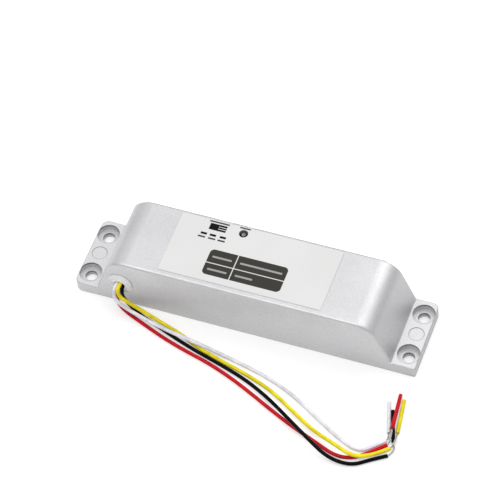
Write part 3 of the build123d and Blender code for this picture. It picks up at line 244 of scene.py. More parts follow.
class NodeMaker:
    def __init__(self, tree):
        self.tree = tree

    def node(self, kind, settings=None, values=None, output=0):
        made = self.tree.nodes.new(kind)
        for name, value in (settings or {}).items():
            setattr(made, name, value)
        for name, value in (values or {}).items():
            self.feed(made.inputs[name], value)
        return Term(self, made.outputs[output])

    def feed(self, socket, value):
        if isinstance(value, Term):
            self.tree.links.new(value.socket, socket)
        else:
            socket.default_value = value

    def math(self, operation, *terms):
        return self.node("ShaderNodeMath", {"operation": operation}, dict(enumerate(terms)))

    def vector(self, operation, first, second, output=0):
        return self.node(
            "ShaderNodeVectorMath", {"operation": operation}, {0: first, 1: second}, output
        )

    def scaled(self, vector, factor):
        return self.node(
            "ShaderNodeVectorMath", {"operation": "SCALE"}, {0: vector, "Scale": factor}
        )

    def step(self, term, low, high):
        # 0 below low and 1 above high, smooth between
        return self.node(
            "ShaderNodeMapRange",
            {"interpolation_type": "SMOOTHSTEP"},
            {"Value": term, "From Min": low, "From Max": high},
        )

    def fall(self, term, low, high):
        # 1 below low and 0 above high
        return 1 - self.step(term, low, high)

    def mix(self, amount, first, second):
        return self.node(
            "ShaderNodeMix", {"data_type": "RGBA"}, {0: amount, 6: first, 7: second}, output=2
        )

    def noise(self, scale, detail=3, roughness=0.5, place=None):
        return self.node(
            "ShaderNodeTexNoise",
            {},
            {
                "Vector": place or self.place(),
                "Scale": scale,
                "Detail": detail,
                "Roughness": roughness,
            },
        )

    def place(self):
        return self.node("ShaderNodeTexCoord", output="Object")

    def normal(self):
        return self.node("ShaderNodeNewGeometry", output="Normal")

    def axes(self, place=None):
        apart = self.tree.nodes.new("ShaderNodeSeparateXYZ")
        self.feed(apart.inputs[0], place or self.place())
        return [Term(self, socket) for socket in apart.outputs]


def reachOf(across, along):
    return (across * across + along * along).math("SQRT")


def grey(level):
    return (level, level, level, 1)


def cool(level):
    return (level, level, 1.02 * level, 1)


def darkened(colour, share):
    return (*(share * level for level in colour[:3]), 1)


def newMaterial(name, metallic=0.0, coat=0.0, **fixed):
    # fixed holds the shader's other sockets, by name with spaces as underscores
    material = bpy.data.materials.new(name)
    material.use_nodes = True
    maker = NodeMaker(material.node_tree)
    shader = material.node_tree.nodes["Principled BSDF"]
    shader.inputs["Metallic"].default_value = metallic
    shader.inputs["Coat Weight"].default_value = coat
    for socket, value in fixed.items():
        shader.inputs[socket.replace("_", " ")].default_value = value
    return material, maker, shader


def paint(maker, shader, colour, rough, normal=None):
    maker.feed(shader.inputs["Base Color"], colour)
    maker.feed(shader.inputs["Roughness"], rough)
    if normal:
        maker.feed(shader.inputs["Normal"], normal)


def rounded(maker, radius):
    # the normal as if each edge were rounded to radius
    return maker.node("ShaderNodeBevel", {"samples": 6}, {"Radius": radius})


def bumped(maker, height, strength, depth, softEdge=None):
    values = {"Height": height, "Strength": strength, "Distance": depth}
    if softEdge:
        values["Normal"] = rounded(maker, softEdge)
    return maker.node("ShaderNodeBump", {}, values)


# Cast and blasted metal: broad clouds, fine grain, and a painted highlight that makes the edges a
# little brighter
castMetals = {
    "housing_metal": {
        "pale": 0.66, "dark": 0.62, "rough": 0.50, "metallic": 0.75, "grain": 0.4, "flange": 0.67,
    },
    "cover_metal": {
        "pale": 0.62, "dark": 0.58, "rough": 0.46, "metallic": 0.8, "grain": 0.2, "flange": 0.62,
    },
}
castLook = {
    "flangeStart": (0.0645, 0.0652),
    "clouds": {"scale": 38, "reach": (0.35, 0.65), "rough": 0.04},
    "grain": {"scale": 4200, "reach": (0.3, 0.75), "share": 0.16, "paler": 0.12},
    "speckle": {"scale": 1500, "reach": (0.42, 0.72), "share": 0.42, "darker": 0.12},
    "edge": {"radius": 0.0006, "reach": (0.01, 0.2), "share": 0.75, "level": 0.93},
    "roughNoise": {"scale": 900, "share": 0.1},
    "bump": {"depth": 0.00004, "softEdge": 0.0003},
}

# The fixing holes' middles, and the painted shade inside them, round the ejector marks and along
# the flanges' edges
bores = {
    "x": 0.0702,
    "y": 0.01025,
    "rim": (0.00478, 0.00498),
    "end": (0.07490, 0.07498),
    "skin": (0.0050, 0.0054),
    "rimHeight": (0.0041, 0.0047),
    "hole": (0.0030, 0.0032),
    "holeHeight": (0.0011, 0.0017),
    "steep": (0.5, 0.9),
    "mark": 0.0032,
    "markLine": (0.00005, 0.00018),
    "shade": {"level": 0.52, "share": 0.45},
    "line": {"level": 0.09, "share": 0.85},
    "markShare": 0.6,
    "outline": {"level": 0.3, "share": 0.7},
}

# The painted shade in the gap round the cover: on the cover's own edges, on the rebate's walls, and
# along the housing's top back edge
seam = {
    "middle": (0, 0, 0.008),
    "inward": (-0.004, -0.001),
    "rebate": (0.01465, 0.01475),
    "faces": (0.3, 0.6),
    "top": (0.0262, 0.0266),
    "back": (0.0164, 0.0167),
    "backShare": 0.9,
    "shade": 0.05,
}


def boreShade(maker, base, flange, atEnd):
    # painted shade on the counterbores' walls, painted dark lines at their mouths and round their
    # holes, and painted dark rings round the ejector marks
    x, y, z = maker.axes()
    steep = maker.fall(abs(maker.axes(maker.normal())[2]), *bores["steep"])
    offX, offY = abs(x) - bores["x"], abs(y) - bores["y"]
    reach = reachOf(offX, offY)
    inside = maker.fall(reach, *bores["rim"]) * (1 - atEnd)
    shade, line = bores["shade"], bores["line"]
    base = maker.mix(shade["share"] * inside * steep, base, grey(shade["level"]))
    mouth = maker.step(z, *bores["rimHeight"])
    throat = maker.fall(reach, *bores["hole"]) * maker.step(z, *bores["holeHeight"])
    lines = line["share"] * inside * steep * mouth.math("MAXIMUM", throat)
    base = maker.mix(lines, base, grey(line["level"]))
    fromMark = abs(reachOf(offX, y) - bores["mark"])
    mark = bores["markShare"] * flange * maker.fall(fromMark, *bores["markLine"])
    skin = atEnd * maker.fall(reach, *bores["skin"])  # thin metal between a counterbore and the end
    return maker.mix(mark, base, grey(line["level"])), skin


def seamShade(maker, base, name, flange):
    # painted shade on the faces that look into the gap round the cover
    _, y, z = maker.axes()
    if name == "cover_metal":
        facing = maker.axes(maker.normal())[1]
        hidden = maker.fall(abs(facing), *seam["faces"]) * maker.fall(z, *seam["top"])
    else:
        fromMiddle = maker.vector("SUBTRACT", maker.place(), seam["middle"])
        outward = maker.vector("DOT_PRODUCT", maker.normal(), fromMiddle, output="Value")
        hidden = maker.fall(outward, *seam["inward"]) * maker.step(y, *seam["rebate"])
        hidden = hidden * (1 - flange)
    return maker.mix(hidden, base, grey(seam["shade"]))


def castMetal(name, finish):
    material, maker, shader = newMaterial(name, metallic=finish["metallic"])
    cloud, grit, dots = castLook["clouds"], castLook["grain"], castLook["speckle"]
    paintedEdges, mottle, bump = castLook["edge"], castLook["roughNoise"], castLook["bump"]
    clouds = maker.step(maker.noise(cloud["scale"], 2), *cloud["reach"])
    grain = maker.noise(grit["scale"], 2, 0.6)
    speckle = maker.noise(dots["scale"], 2, 0.65)
    x, y, z = maker.axes()
    flange = maker.step(abs(x), *castLook["flangeStart"])
    atEnd = maker.step(abs(x), *bores["end"])
    base = maker.mix(clouds, cool(finish["dark"]), cool(finish["pale"]))
    base = maker.mix(flange, base, cool(finish["flange"]))
    base, skin = boreShade(maker, base, flange, atEnd)
    base = seamShade(maker, base, name, flange)
    grains = maker.step(grain, *grit["reach"]) * grit["share"]
    base = maker.mix(grains, base, grey(finish["pale"] + grit["paler"]))
    speckles = maker.step(speckle, *dots["reach"]) * dots["share"]
    base = maker.mix(speckles, base, cool(finish["dark"] - dots["darker"]))
    bend = maker.vector(
        "DOT_PRODUCT", rounded(maker, paintedEdges["radius"]), maker.normal(), output="Value"
    )
    edge = maker.step(1 - bend, *paintedEdges["reach"])
    if name == "housing_metal":
        behind = maker.step(y, *seam["back"]) * maker.step(z, *seam["top"])
        # painted highlight: the housing's edges are made paler, away from the flanges and the top
        # back edge
        edgeHighlight = paintedEdges["share"] * edge * (1 - flange) * (1 - behind)
        base = maker.mix(edgeHighlight, base, cool(paintedEdges["level"]))
        # painted shade: a dark line along the housing's top back edge
        base = maker.mix(seam["backShare"] * behind, base, grey(seam["shade"]))
    # painted shade: a dark outline along the flanges' edges, left off the thin metal at each
    # counterbore
    outline = bores["outline"]["share"] * edge * flange * (1 - skin)
    base = maker.mix(outline, base, cool(bores["outline"]["level"]))
    mottled = mottle["share"] * (maker.noise(mottle["scale"], 3) - 0.5)
    rough = finish["rough"] + mottled - cloud["rough"] * clouds
    relief = bumped(maker, grain + speckle, finish["grain"], bump["depth"], bump["softEdge"])
    paint(maker, shader, base, rough, relief)
    return material


# Turned and drawn metal: fine lines along one axis and round it
turnedMetals = {
    "bright_steel": {
        "colour": (0.62, 0.62, 0.63, 1), "rough": 0.2, "stretch": (9000, 600, 600),
    },
    "zinc_steel": {
        "colour": (0.50, 0.51, 0.53, 1), "rough": 0.34, "stretch": (1500, 1500, 1500),
    },
    "tinned_copper": {
        "colour": (0.60, 0.58, 0.55, 1), "rough": 0.25, "stretch": (3000, 3000, 3000),
    },
}
drawnLook = {"dull": 0.72, "roughRange": 0.18, "relief": 0.12}
lineLook = {"reach": (0.3, 0.7), "middle": 0.35, "depth": 0.00002, "softEdge": 0.00015}


def linedMetal(maker, shader, finish, look, place):
    lines = maker.noise(1, 3, 0.6, place)
    dull = darkened(finish["colour"], look["dull"])
    colour = maker.mix(maker.step(lines, *lineLook["reach"]), dull, finish["colour"])
    rough = finish["rough"] + look["roughRange"] * (lines - lineLook["middle"])
    relief = bumped(maker, lines, look["relief"], lineLook["depth"], lineLook["softEdge"])
    paint(maker, shader, colour, rough, relief)


def turnedMetal(name, finish):
    material, maker, shader = newMaterial(name, metallic=1.0)
    place = maker.node(
        "ShaderNodeMapping", {}, {"Vector": maker.place(), "Scale": finish["stretch"]}
    )
    linedMetal(maker, shader, finish, drawnLook, place)
    return material


# Steel turned about its own axis: rings on the end faces and lines round the shank
turnedPieces = {
    "bolt": {
        "middle": (-0.0437, 0, 0.0133), "along": 1, "colour": (0.56, 0.56, 0.57, 1), "rough": 0.24,
    },
    "plunger": {
        "middle": (0, -0.0045, 0.0133), "along": 0, "colour": (0.50, 0.51, 0.53, 1), "rough": 0.3,
    },
    "solenoid_core": {
        "middle": (0, -0.0045, 0.0133), "along": 0, "colour": (0.50, 0.51, 0.53, 1), "rough": 0.3,
    },
}
ringLook = {"dull": 0.66, "roughRange": 0.16, "relief": 0.16, "ringsScale": 5200, "roundScale": 60}


def lathedMetal(name, finish):
    material, maker, shader = newMaterial(f"turned_{name}", metallic=1.0)
    apart = maker.axes(maker.vector("SUBTRACT", maker.place(), finish["middle"]))
    along = apart.pop(finish["along"])
    rings, across = ringLook["ringsScale"], ringLook["roundScale"]
    place = maker.node(
        "ShaderNodeCombineXYZ",
        {},
        {"X": reachOf(*apart) * rings, "Y": along * rings, "Z": apart[0] * across},
    )
    linedMetal(maker, shader, finish, ringLook, place)
    return material


# Plain mouldings, rubber and insulation
plastics = {
    "pvc_yellow": {"colour": (0.90, 0.76, 0.008), "rough": 0.24, "shine": 0.2},
    "pvc_white": {"colour": (0.82, 0.81, 0.88), "rough": 0.28, "shine": 0.4},
    "pvc_black": {"colour": (0.003, 0.003, 0.0035), "rough": 0.16, "shine": 0.06},
    "pvc_red": {"colour": (0.60, 0.003, 0.012), "rough": 0.22, "shine": 0.15},
    "pale_rubber": {"colour": (0.86, 0.86, 0.865), "rough": 0.42},
    "black_plastic": {"colour": (0.018, 0.018, 0.019), "rough": 0.42},
    "white_plastic": {"colour": (0.78, 0.77, 0.73), "rough": 0.40},
    "sleeve_plastic": {"colour": (0.55, 0.50, 0.40), "rough": 0.45},
    "lead_insulation": {"colour": (0.45, 0.06, 0.05), "rough": 0.35},
}
plasticLook = {
    "shine": 0.5,
    "dull": 0.82,
    "fresh": 1.1,
    "clouds": {"scale": 240, "reach": (0.3, 0.7), "rough": 0.06},
    "fine": {"scale": 3800, "rough": 0.12, "relief": 0.10, "depth": 0.00003, "softEdge": 0.0001},
}


def plastic(name, finish):
    shine = finish.get("shine", plasticLook["shine"])
    material, maker, shader = newMaterial(name, Specular_IOR_Level=shine)
    cloud, grit = plasticLook["clouds"], plasticLook["fine"]
    clouds = maker.noise(cloud["scale"], 3, 0.55)
    fine = maker.noise(grit["scale"], 2)
    dull = darkened(finish["colour"], plasticLook["dull"])
    fresh = (*(min(1, plasticLook["fresh"] * level) for level in finish["colour"]), 1)
    colour = maker.mix(maker.step(clouds, *cloud["reach"]), dull, fresh)
    rough = finish["rough"] + grit["rough"] * (fine - 0.5) + cloud["rough"] * clouds
    relief = bumped(maker, fine, grit["relief"], grit["depth"], grit["softEdge"])
    paint(maker, shader, colour, rough, relief)
    return material


# Print on the label: plain fields, bars and a table, all in metres on the lock's top, with painted
# shade along the film's edge
labelPrint = {
    "film": (0.72, 0.72, 0.718, 1),
    "filmShade": (0.695, 0.695, 0.692, 1),
    "paintedEdgeShade": grey(0.55),
    "inside": (-0.03618, 0.03458, -0.01428, 0.01588),
    "ink": grey(0.002),
    "tableInk": (0.042, 0.040, 0.035, 1),
    "captionInk": grey(0.05),
    "rowInk": grey(0.34),
    "shine": 0.1,
    "clouds": {"scale": 30, "reach": (0.35, 0.65)},
    "fine": {"scale": 2600, "rough": 0.08, "relief": 0.05, "depth": 0.00003},
    "rough": 0.42,
    "tableGloss": 0.08,
    "blur": 0.00007,
    "table": (-0.01835, 0.0157, -0.0111, 0.0017),
    "corner": 0.0019,
    "dividers": (
        (-0.00650, -0.00610, -0.012, 0.002), (-0.019, 0.016, -0.00540, -0.00500),
    ),
    "window": (-0.0231, -0.0157, 0.0108, 0.0141),
    "windowLines": (
        (-0.0192, -0.0157, 0.01175, 0.01205), (-0.0192, -0.0157, 0.01285, 0.01315),
    ),
    "dashes": ((-0.0242, 0.00825), (-0.0202, 0.00825), (-0.0158, 0.00825)),
    "dashSize": (0.0027, 0.0011),
    "captions": (
        (-0.0239, -0.0152, 0.01465, 0.01540), (-0.0107, -0.0060, 0.01500, 0.01570),
        (-0.0262, -0.0230, 0.00605, 0.00685), (-0.0217, -0.0185, 0.00605, 0.00685),
        (-0.0175, -0.0143, 0.00605, 0.00685),
    ),
    "rows": (
        (-0.0166, -0.0082, -0.00235, -0.00145), (-0.0045, 0.0138, -0.00235, -0.00145),
        (-0.0166, -0.0082, -0.00875, -0.00785), (-0.0045, 0.0030, -0.00875, -0.00785),
    ),
}


def boxMask(maker, x, y, box, corner=0.0):
    # 1 inside the box (left, right, low, high), 0 outside
    left, right, low, high = box
    across = abs(x - (left + right) / 2) - ((right - left) / 2 - corner)
    along = abs(y - (low + high) / 2) - ((high - low) / 2 - corner)
    if corner:
        reach = reachOf(across.math("MAXIMUM", 0), along.math("MAXIMUM", 0)) - corner
    else:
        reach = across.math("MAXIMUM", along)
    return maker.fall(reach, -labelPrint["blur"], labelPrint["blur"])


def boxMasks(maker, x, y, boxes):
    whole = boxMask(maker, x, y, boxes[0])
    for box in boxes[1:]:
        whole = whole.math("MAXIMUM", boxMask(maker, x, y, box))
    return whole


def labelFilm(name, printing):
    material, maker, shader = newMaterial(name, Specular_IOR_Level=printing["shine"])
    x, y, _ = maker.axes()
    cloud, grit = printing["clouds"], printing["fine"]
    fine = maker.noise(grit["scale"], 2)
    clouds = maker.step(maker.noise(cloud["scale"], 2), *cloud["reach"])
    colour = maker.mix(clouds, printing["filmShade"], printing["film"])
    # painted shade: a grey band along the film's edge, outside the inside box
    outside = 1 - boxMask(maker, x, y, printing["inside"])
    colour = maker.mix(outside, colour, printing["paintedEdgeShade"])
    table = boxMask(maker, x, y, printing["table"], printing["corner"])
    table = table * (1 - boxMasks(maker, x, y, printing["dividers"]))
    wide, tall = (size / 2 for size in printing["dashSize"])
    dashes = boxMasks(maker, x, y, [
        (midX - wide, midX + wide, midY - tall, midY + tall) for midX, midY in printing["dashes"]
    ])
    window = boxMask(maker, x, y, printing["window"])
    window = window * (1 - boxMasks(maker, x, y, printing["windowLines"]))
    prints = (
        (table, "tableInk"),
        (boxMasks(maker, x, y, printing["rows"]), "rowInk"),
        (boxMasks(maker, x, y, printing["captions"]), "captionInk"),
        (dashes.math("MAXIMUM", window), "ink"),
    )
    for mask, ink in prints:
        colour = maker.mix(mask, colour, printing[ink])
    rough = printing["rough"] + grit["rough"] * (fine - 0.5) - printing["tableGloss"] * table
    paint(maker, shader, colour, rough, bumped(maker, fine, grit["relief"], grit["depth"]))
    return material


# The lamp's lens: a dark ring round a paler, glossy middle
lamp = {
    "centre": (-0.0083, 0.0127),
    "ring": (0.0007, 0.0011),
    "pale": grey(0.26),
    "shade": grey(0.16),
    "dark": grey(0.008),
    "clouds": {"scale": 900, "reach": (0.3, 0.7)},
    "coat": 0.25,
    "shine": 0.35,
    "rough": 0.16,
    "ringRough": 0.2,
}


def lampLens(name, settings):
    material, maker, shader = newMaterial(
        name, coat=settings["coat"], Specular_IOR_Level=settings["shine"]
    )
    x, y, _ = maker.axes()
    midX, midY = settings["centre"]
    cloud = settings["clouds"]
    ring = maker.step(reachOf(x - midX, y - midY), *settings["ring"])
    clouds = maker.step(maker.noise(cloud["scale"], 2), *cloud["reach"])
    middle = maker.mix(clouds, settings["shade"], settings["pale"])
    rough = settings["rough"] + settings["ringRough"] * ring
    paint(maker, shader, maker.mix(ring, middle, settings["dark"]), rough)
    return material


# Enamelled copper on the coil, the board's green laminate and the switch's glass
copper = {
    "colours": ((0.42, 0.13, 0.04, 1), (0.62, 0.24, 0.09, 1)),
    "scale": 500,
    "reach": (0.3, 0.7),
    "metallic": 0.9,
    "rough": 0.26,
    "tintRough": 0.1,
}
board = {
    "colours": ((0.012, 0.085, 0.03, 1), (0.018, 0.11, 0.04, 1)),
    "weave": 5200,
    "weaveReach": (-0.6, 0.6),
    "tracks": {
        "x": 1250, "z": 900, "reach": (0.86, 0.92), "share": 0.5, "colour": (0.04, 0.20, 0.08, 1),
    },
    "coat": 0.2,
    "rough": 0.38,
    "weaveRough": 0.05,
    "relief": 0.08,
    "depth": 0.00003,
}
glass = {
    "colours": ((0.72, 0.85, 0.76, 1), (0.86, 0.93, 0.88, 1)),
    "scale": 700,
    "clear": 0.85,
    "refraction": 1.5,
    "rough": 0.04,
    "hazeRough": 0.06,
}


def coilCopper(name):
    material, maker, shader = newMaterial(name, metallic=copper["metallic"])
    tint = maker.step(maker.noise(copper["scale"], 3), *copper["reach"])
    rough = copper["rough"] + copper["tintRough"] * tint
    paint(maker, shader, maker.mix(tint, *copper["colours"]), rough)
    return material


def boardLaminate(name):
    material, maker, shader = newMaterial(name, coat=board["coat"])
    x, _, z = maker.axes()
    lines = board["tracks"]
    weave = (x * board["weave"]).math("SINE") * (z * board["weave"]).math("SINE")
    tracks = maker.step((x * lines["x"] + z * lines["z"]).math("SINE"), *lines["reach"])
    base = maker.mix(maker.step(weave, *board["weaveReach"]), *board["colours"])
    colour = maker.mix(tracks * lines["share"], base, lines["colour"])
    rough = board["rough"] + board["weaveRough"] * weave
    relief = bumped(maker, weave + tracks, board["relief"], board["depth"])
    paint(maker, shader, colour, rough, relief)
    return material


def switchGlass(name):
    material, maker, shader = newMaterial(
        name, Transmission_Weight=glass["clear"], IOR=glass["refraction"]
    )
    haze = maker.noise(glass["scale"], 2)
    rough = glass["rough"] + glass["hazeRough"] * haze
    paint(maker, shader, maker.mix(haze, *glass["colours"]), rough)
    return material


materials = {name: castMetal(name, finish) for name, finish in castMetals.items()}
materials.update({name: turnedMetal(name, finish) for name, finish in turnedMetals.items()})
materials.update({name: plastic(name, finish) for name, finish in plastics.items()})
materials["label_film"] = labelFilm("label_film", labelPrint)
materials["lamp_lens"] = lampLens("lamp_lens", lamp)
materials["copper_winding"] = coilCopper("copper_winding")
materials["board_laminate"] = boardLaminate("board_laminate")
materials["switch_glass"] = switchGlass("switch_glass")
print("materials made:", len(materials))

# Each CAD node keeps its slots' names, and each slot gets the finish of that name
for node in nodes.values():
    for slot in node.material_slots:
        wanted = slot.material.name.split(".")[0]
        slot.material = materials.get(wanted, materials["bright_steel"])
for name, finish in turnedPieces.items():
    nodes[name].material_slots[0].material = lathedMetal(name, finish)


def dress(piece, slot, *replaced):
    # the piece's finish, body and slot, and the CAD nodes it stands for
    piece.data.materials.clear()
    piece.data.materials.append(materials[slot])
    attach(piece, "housing")
    if replaced:
        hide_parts(*replaced)


def spanRings(shape, rings):
    for first, second in zip(rings, rings[1:]):
        for turn in range(len(first)):
            after = (turn + 1) % len(first)
            shape.faces.new((first[turn], first[after], second[after], second[turn]))


# The wires' insulation, and what was stripped off its end
def sleeve(colour):
    start, end = (Vector(place) for place in sleeves["ends"][colour])
    along = (end - start).normalized()
    side = along.orthogonal().normalized()
    other = along.cross(side)
    edge = sleeves["edge"]
    outer, bore = sleeves["radius"], sleeves["bore"]
    length = (end - start).length
    outline = (
        (bore, edge), (bore + edge, 0), (outer - edge, 0), (outer, edge), (outer, length / 3),
        (outer, length * 2 / 3), (outer, length - edge), (outer - edge, length),
        (bore + edge, length), (bore, length - edge),
    )
    shape = bmesh.new()
    rings = []
    for radius, depth in outline:
        ring = []
        for turn in range(sleeves["sides"]):
            angle = 2 * math.pi * turn / sleeves["sides"]
            outward = math.cos(angle) * side + math.sin(angle) * other
            ring.append(shape.verts.new(start + along * depth + radius * outward))
        rings.append(ring)
    spanRings(shape, rings + rings[:1])
    return meshObject(f"sleeve_{colour}", shape)


# Geometry trees, each with named sizes, other inputs as (name, socket type) and a Finish
def newTree(name, sizes, things):
    tree = bpy.data.node_groups.new(name, "GeometryNodeTree")
    face = tree.interface
    face.new_socket("Geometry", in_out="INPUT", socket_type="NodeSocketGeometry")
    for size in sizes:
        face.new_socket(size, in_out="INPUT", socket_type="NodeSocketFloat")
    for thing, kind in things:
        face.new_socket(thing, in_out="INPUT", socket_type=f"NodeSocket{kind}")
    face.new_socket("Finish", in_out="INPUT", socket_type="NodeSocketMaterial")
    face.new_socket("Geometry", in_out="OUTPUT", socket_type="NodeSocketGeometry")
    maker = NodeMaker(tree)
    given = tree.nodes.new("NodeGroupInput").outputs
    return maker, {socket.name: Term(maker, socket) for socket in given if socket.name}


def finishTree(maker, body, finish):
    whole = maker.node("GeometryNodeRealizeInstances", {}, {"Geometry": body})
    done = maker.node("GeometryNodeSetMaterial", {}, {"Geometry": whole, "Material": finish})
    out = maker.tree.nodes.new("NodeGroupOutput")
    maker.tree.links.new(done.socket, out.inputs[0])
    return maker.tree


def joined(maker, *parts):
    both = maker.node("GeometryNodeJoinGeometry")
    for part in parts:
        maker.tree.links.new(part.socket, both.socket.node.inputs[0])
    return both


def tube(maker, line, sides, radius):
    section = maker.node(
        "GeometryNodeCurvePrimitiveCircle", {}, {"Resolution": sides, "Radius": radius}
    )
    return maker.node(
        "GeometryNodeCurveToMesh", {}, {"Curve": line, "Profile Curve": section, "Fill Caps": True}
    )


def twistedTree():
    # fine wires laid round each curve, and one along its middle
    sizes = ("Fine radius", "Lay radius", "Turns per metre", "Sampling")
    maker, inputs = newTree("twistedStrands", sizes, [("Wires", "Int"), ("Sides", "Int")])
    line = maker.node(
        "GeometryNodeResampleCurve",
        {"mode": "LENGTH"},
        {"Curve": inputs["Geometry"], "Length": inputs["Sampling"]},
    )
    copies = maker.node(
        "GeometryNodeDuplicateElements",
        {"domain": "SPLINE"},
        {"Geometry": line, "Amount": inputs["Wires"]},
    )
    index = Term(maker, copies.socket.node.outputs["Duplicate Index"])
    along = maker.node("GeometryNodeSplineParameter", output="Length")
    angle = (index / inputs["Wires"] + along * inputs["Turns per metre"]) * (2 * math.pi)
    normal = maker.node("GeometryNodeInputNormal")
    tangent = maker.node("GeometryNodeInputTangent")
    other = maker.vector("CROSS_PRODUCT", tangent, normal)
    outward = maker.vector(
        "ADD",
        maker.scaled(normal, angle.math("COSINE")),
        maker.scaled(other, angle.math("SINE")),
    )
    offset = maker.scaled(outward, inputs["Lay radius"])
    laid = maker.node("GeometryNodeSetPosition", {}, {"Geometry": copies, "Offset": offset})
    body = tube(maker, joined(maker, laid, line), inputs["Sides"], inputs["Fine radius"])
    return finishTree(maker, body, inputs["Finish"])


def grown(source, tree, name, values):
    # runs a geometry tree on source and returns its result as a plain mesh object
    modifier = source.modifiers.new("grow", "NODES")
    modifier.node_group = tree
    for item in tree.interface.items_tree:
        if item.in_out == "INPUT" and item.name in values:
            modifier[item.identifier] = values[item.name]
    graph = bpy.context.evaluated_depsgraph_get()
    mesh = bpy.data.meshes.new_from_object(source.evaluated_get(graph))
    source.modifiers.remove(modifier)
    bpy.data.objects.remove(source)
    mesh.name = name
    return linked(name, mesh)


strandTree = twistedTree()


def strand(colour):
    route = [Vector(place) for place in wires["routes"][colour]]
    sleeveStart, sleeveEnd = (Vector(place) for place in sleeves["ends"][colour])
    out = (route[-1] - route[-2]).normalized()
    into = (sleeveEnd - sleeveStart).normalized()
    points = [route[-1] - out * strands["buried"], route[-1] + out * strands["lead"]]
    points += [Vector(place) for place in strands["bends"][colour]]
    points += [sleeveStart - into * strands["lead"], sleeveStart + into * strands["buried"]]
    values = {
        "Wires": strands["fineWires"],
        "Fine radius": strands["fineRadius"],
        "Lay radius": strands["layRadius"],
        "Turns per metre": strands["turnsPerMetre"],
        "Sampling": strands["sampling"],
        "Sides": strands["wireSides"],
        "Finish": materials["tinned_copper"],
    }
    line = splineCurve("strandLine", points, strands["steps"])
    return grown(line, strandTree, f"strands_{colour}_twisted", values)


for colour, curve in wireCurves.items():
    dress(curve, f"pvc_{colour}", f"wire_{colour}")
    curve.visible_glossy = False  # keeps the wires' colours off the satin metal behind them
    bared = strand(colour)
    dress(bared, "tinned_copper", f"strands_{colour}")
    tip = sleeve(colour)
    dress(tip, f"pvc_{colour}", f"slug_{colour}")
print("wires dressed")


# The grommet: one soft turned ring, closed behind the wires' joints
grommet = {
    "centre": (-0.0532, 0.0134),
    "segments": 72,
    "outline": (
        (0, -15.8), (2.05, -15.8), (2.2, -16.2), (2.25, -17.6), (2.38, -18.05), (2.62, -18.26),
        (2.98, -18.3), (3.28, -18.14), (3.5, -17.95), (4.2, -17.84), (4.9, -17.76),
        (5.3, -17.62), (5.5, -17.35), (5.5, -17.02), (3.62, -17.0), (3.6, -14.6),
        (4.1, -14.55), (4.1, -14.05), (3.9, -14.0), (0, -14.0),
    ),
}


def turned(name, centre, outline, segments, along=1, sixSided=()):
    # turns an outline of (radius, height) in millimetres round an axis along X, Y or Z;
    # the outline's points numbered in sixSided make hexagons, across their flats
    across = [axis for axis in range(3) if axis != along]
    shape = bmesh.new()
    rings = []
    for index, (radius, height) in enumerate(outline):
        ring = []
        for turn in range(segments):
            angle = 2 * math.pi * turn / segments
            reach = radius * mm
            if index in sixSided:
                reach /= math.cos((angle + math.pi / 6) % (math.pi / 3) - math.pi / 6)
            place = [0, 0, 0]
            place[along] = height * mm
            place[across[0]] = centre[0] + reach * math.cos(angle)
            place[across[1]] = centre[1] + reach * math.sin(angle)
            ring.append(shape.verts.new(place))
        rings.append(ring)
    spanRings(shape, rings)
    return meshObject(name, shape)


grommetRing = turned("grommet_ring", grommet["centre"], grommet["outline"], grommet["segments"])
dress(grommetRing, "pale_rubber", "wire_grommet")
print("grommet made")

# The cover's three screws: one with its socket and thread, set out by a geometry tree
screw = {
    "places": ((-0.0571, 0.017, 0.0072), (0.0571, 0.017, 0.0072), (0.0336, 0.017, 0.0198)),
    "segments": 48,
    "tip": ((0, -12.0), (1.45, -12.0), (1.75, -11.7)),
    "thread": {"crest": 1.99, "root": 1.68, "pitch": 0.7, "first": -11.4, "ridges": 12},
    "head": (
        (1.99, -2.6), (1.99, -2.14), (3.98, -0.15), (4.08, -0.07), (4.06, -0.01), (3.92, 0),
        (2.1, 0),
    ),
    "socket": ((1.66, 0), (1.5, -0.1), (1.45, -0.25), (1.45, -1.45), (1.38, -1.6)),
    "floor": ((0, -1.6),),
    "seed": 4,
}


def screwPattern(size):
    # along Y, its head's face at 0
    thread = size["thread"]
    outline = list(size["tip"])
    for ridge in range(thread["ridges"]):
        low = thread["first"] + ridge * thread["pitch"]
        outline += [(thread["root"], low), (thread["crest"], low + thread["pitch"] / 2)]
    outline += size["head"]
    sixSided = range(len(outline), len(outline) + len(size["socket"]))
    outline += size["socket"] + size["floor"]
    return turned("screwPattern", (0, 0), outline, size["segments"], sixSided=sixSided)


def setOutTree():
    # copies one piece to each point, each turned by its own amount about Y
    maker, inputs = newTree("setOut", (), [("Piece", "Object"), ("Seed", "Int")])
    points = maker.node("GeometryNodeMeshToPoints", {}, {"Mesh": inputs["Geometry"]})
    piece = maker.node("GeometryNodeObjectInfo", {}, {"Object": inputs["Piece"]}, output="Geometry")
    angle = maker.node(
        "FunctionNodeRandomValue",
        {"data_type": "FLOAT"},
        {2: 0, 3: 2 * math.pi, 8: inputs["Seed"]},
        output=1,
    )
    copies = maker.node(
        "GeometryNodeInstanceOnPoints",
        {},
        {
            "Points": points,
            "Instance": piece,
            "Rotation": maker.node("ShaderNodeCombineXYZ", {}, {"Y": angle}),
        },
    )
    return finishTree(maker, copies, inputs["Finish"])


def pointCloud(name, places):
    mesh = bpy.data.meshes.new(name)
    mesh.from_pydata(places, [], [])
    return linked(name, mesh)


pattern = screwPattern(screw)
values = {"Piece": pattern, "Seed": screw["seed"], "Finish": materials["zinc_steel"]}
spots = pointCloud("screwPlaces", screw["places"])
coverScrews = grown(spots, setOutTree(), "cover_screws_cut", values)
bpy.data.objects.remove(pattern)
dress(coverScrews, "zinc_steel", "cover_screws")
print("cover screws made")

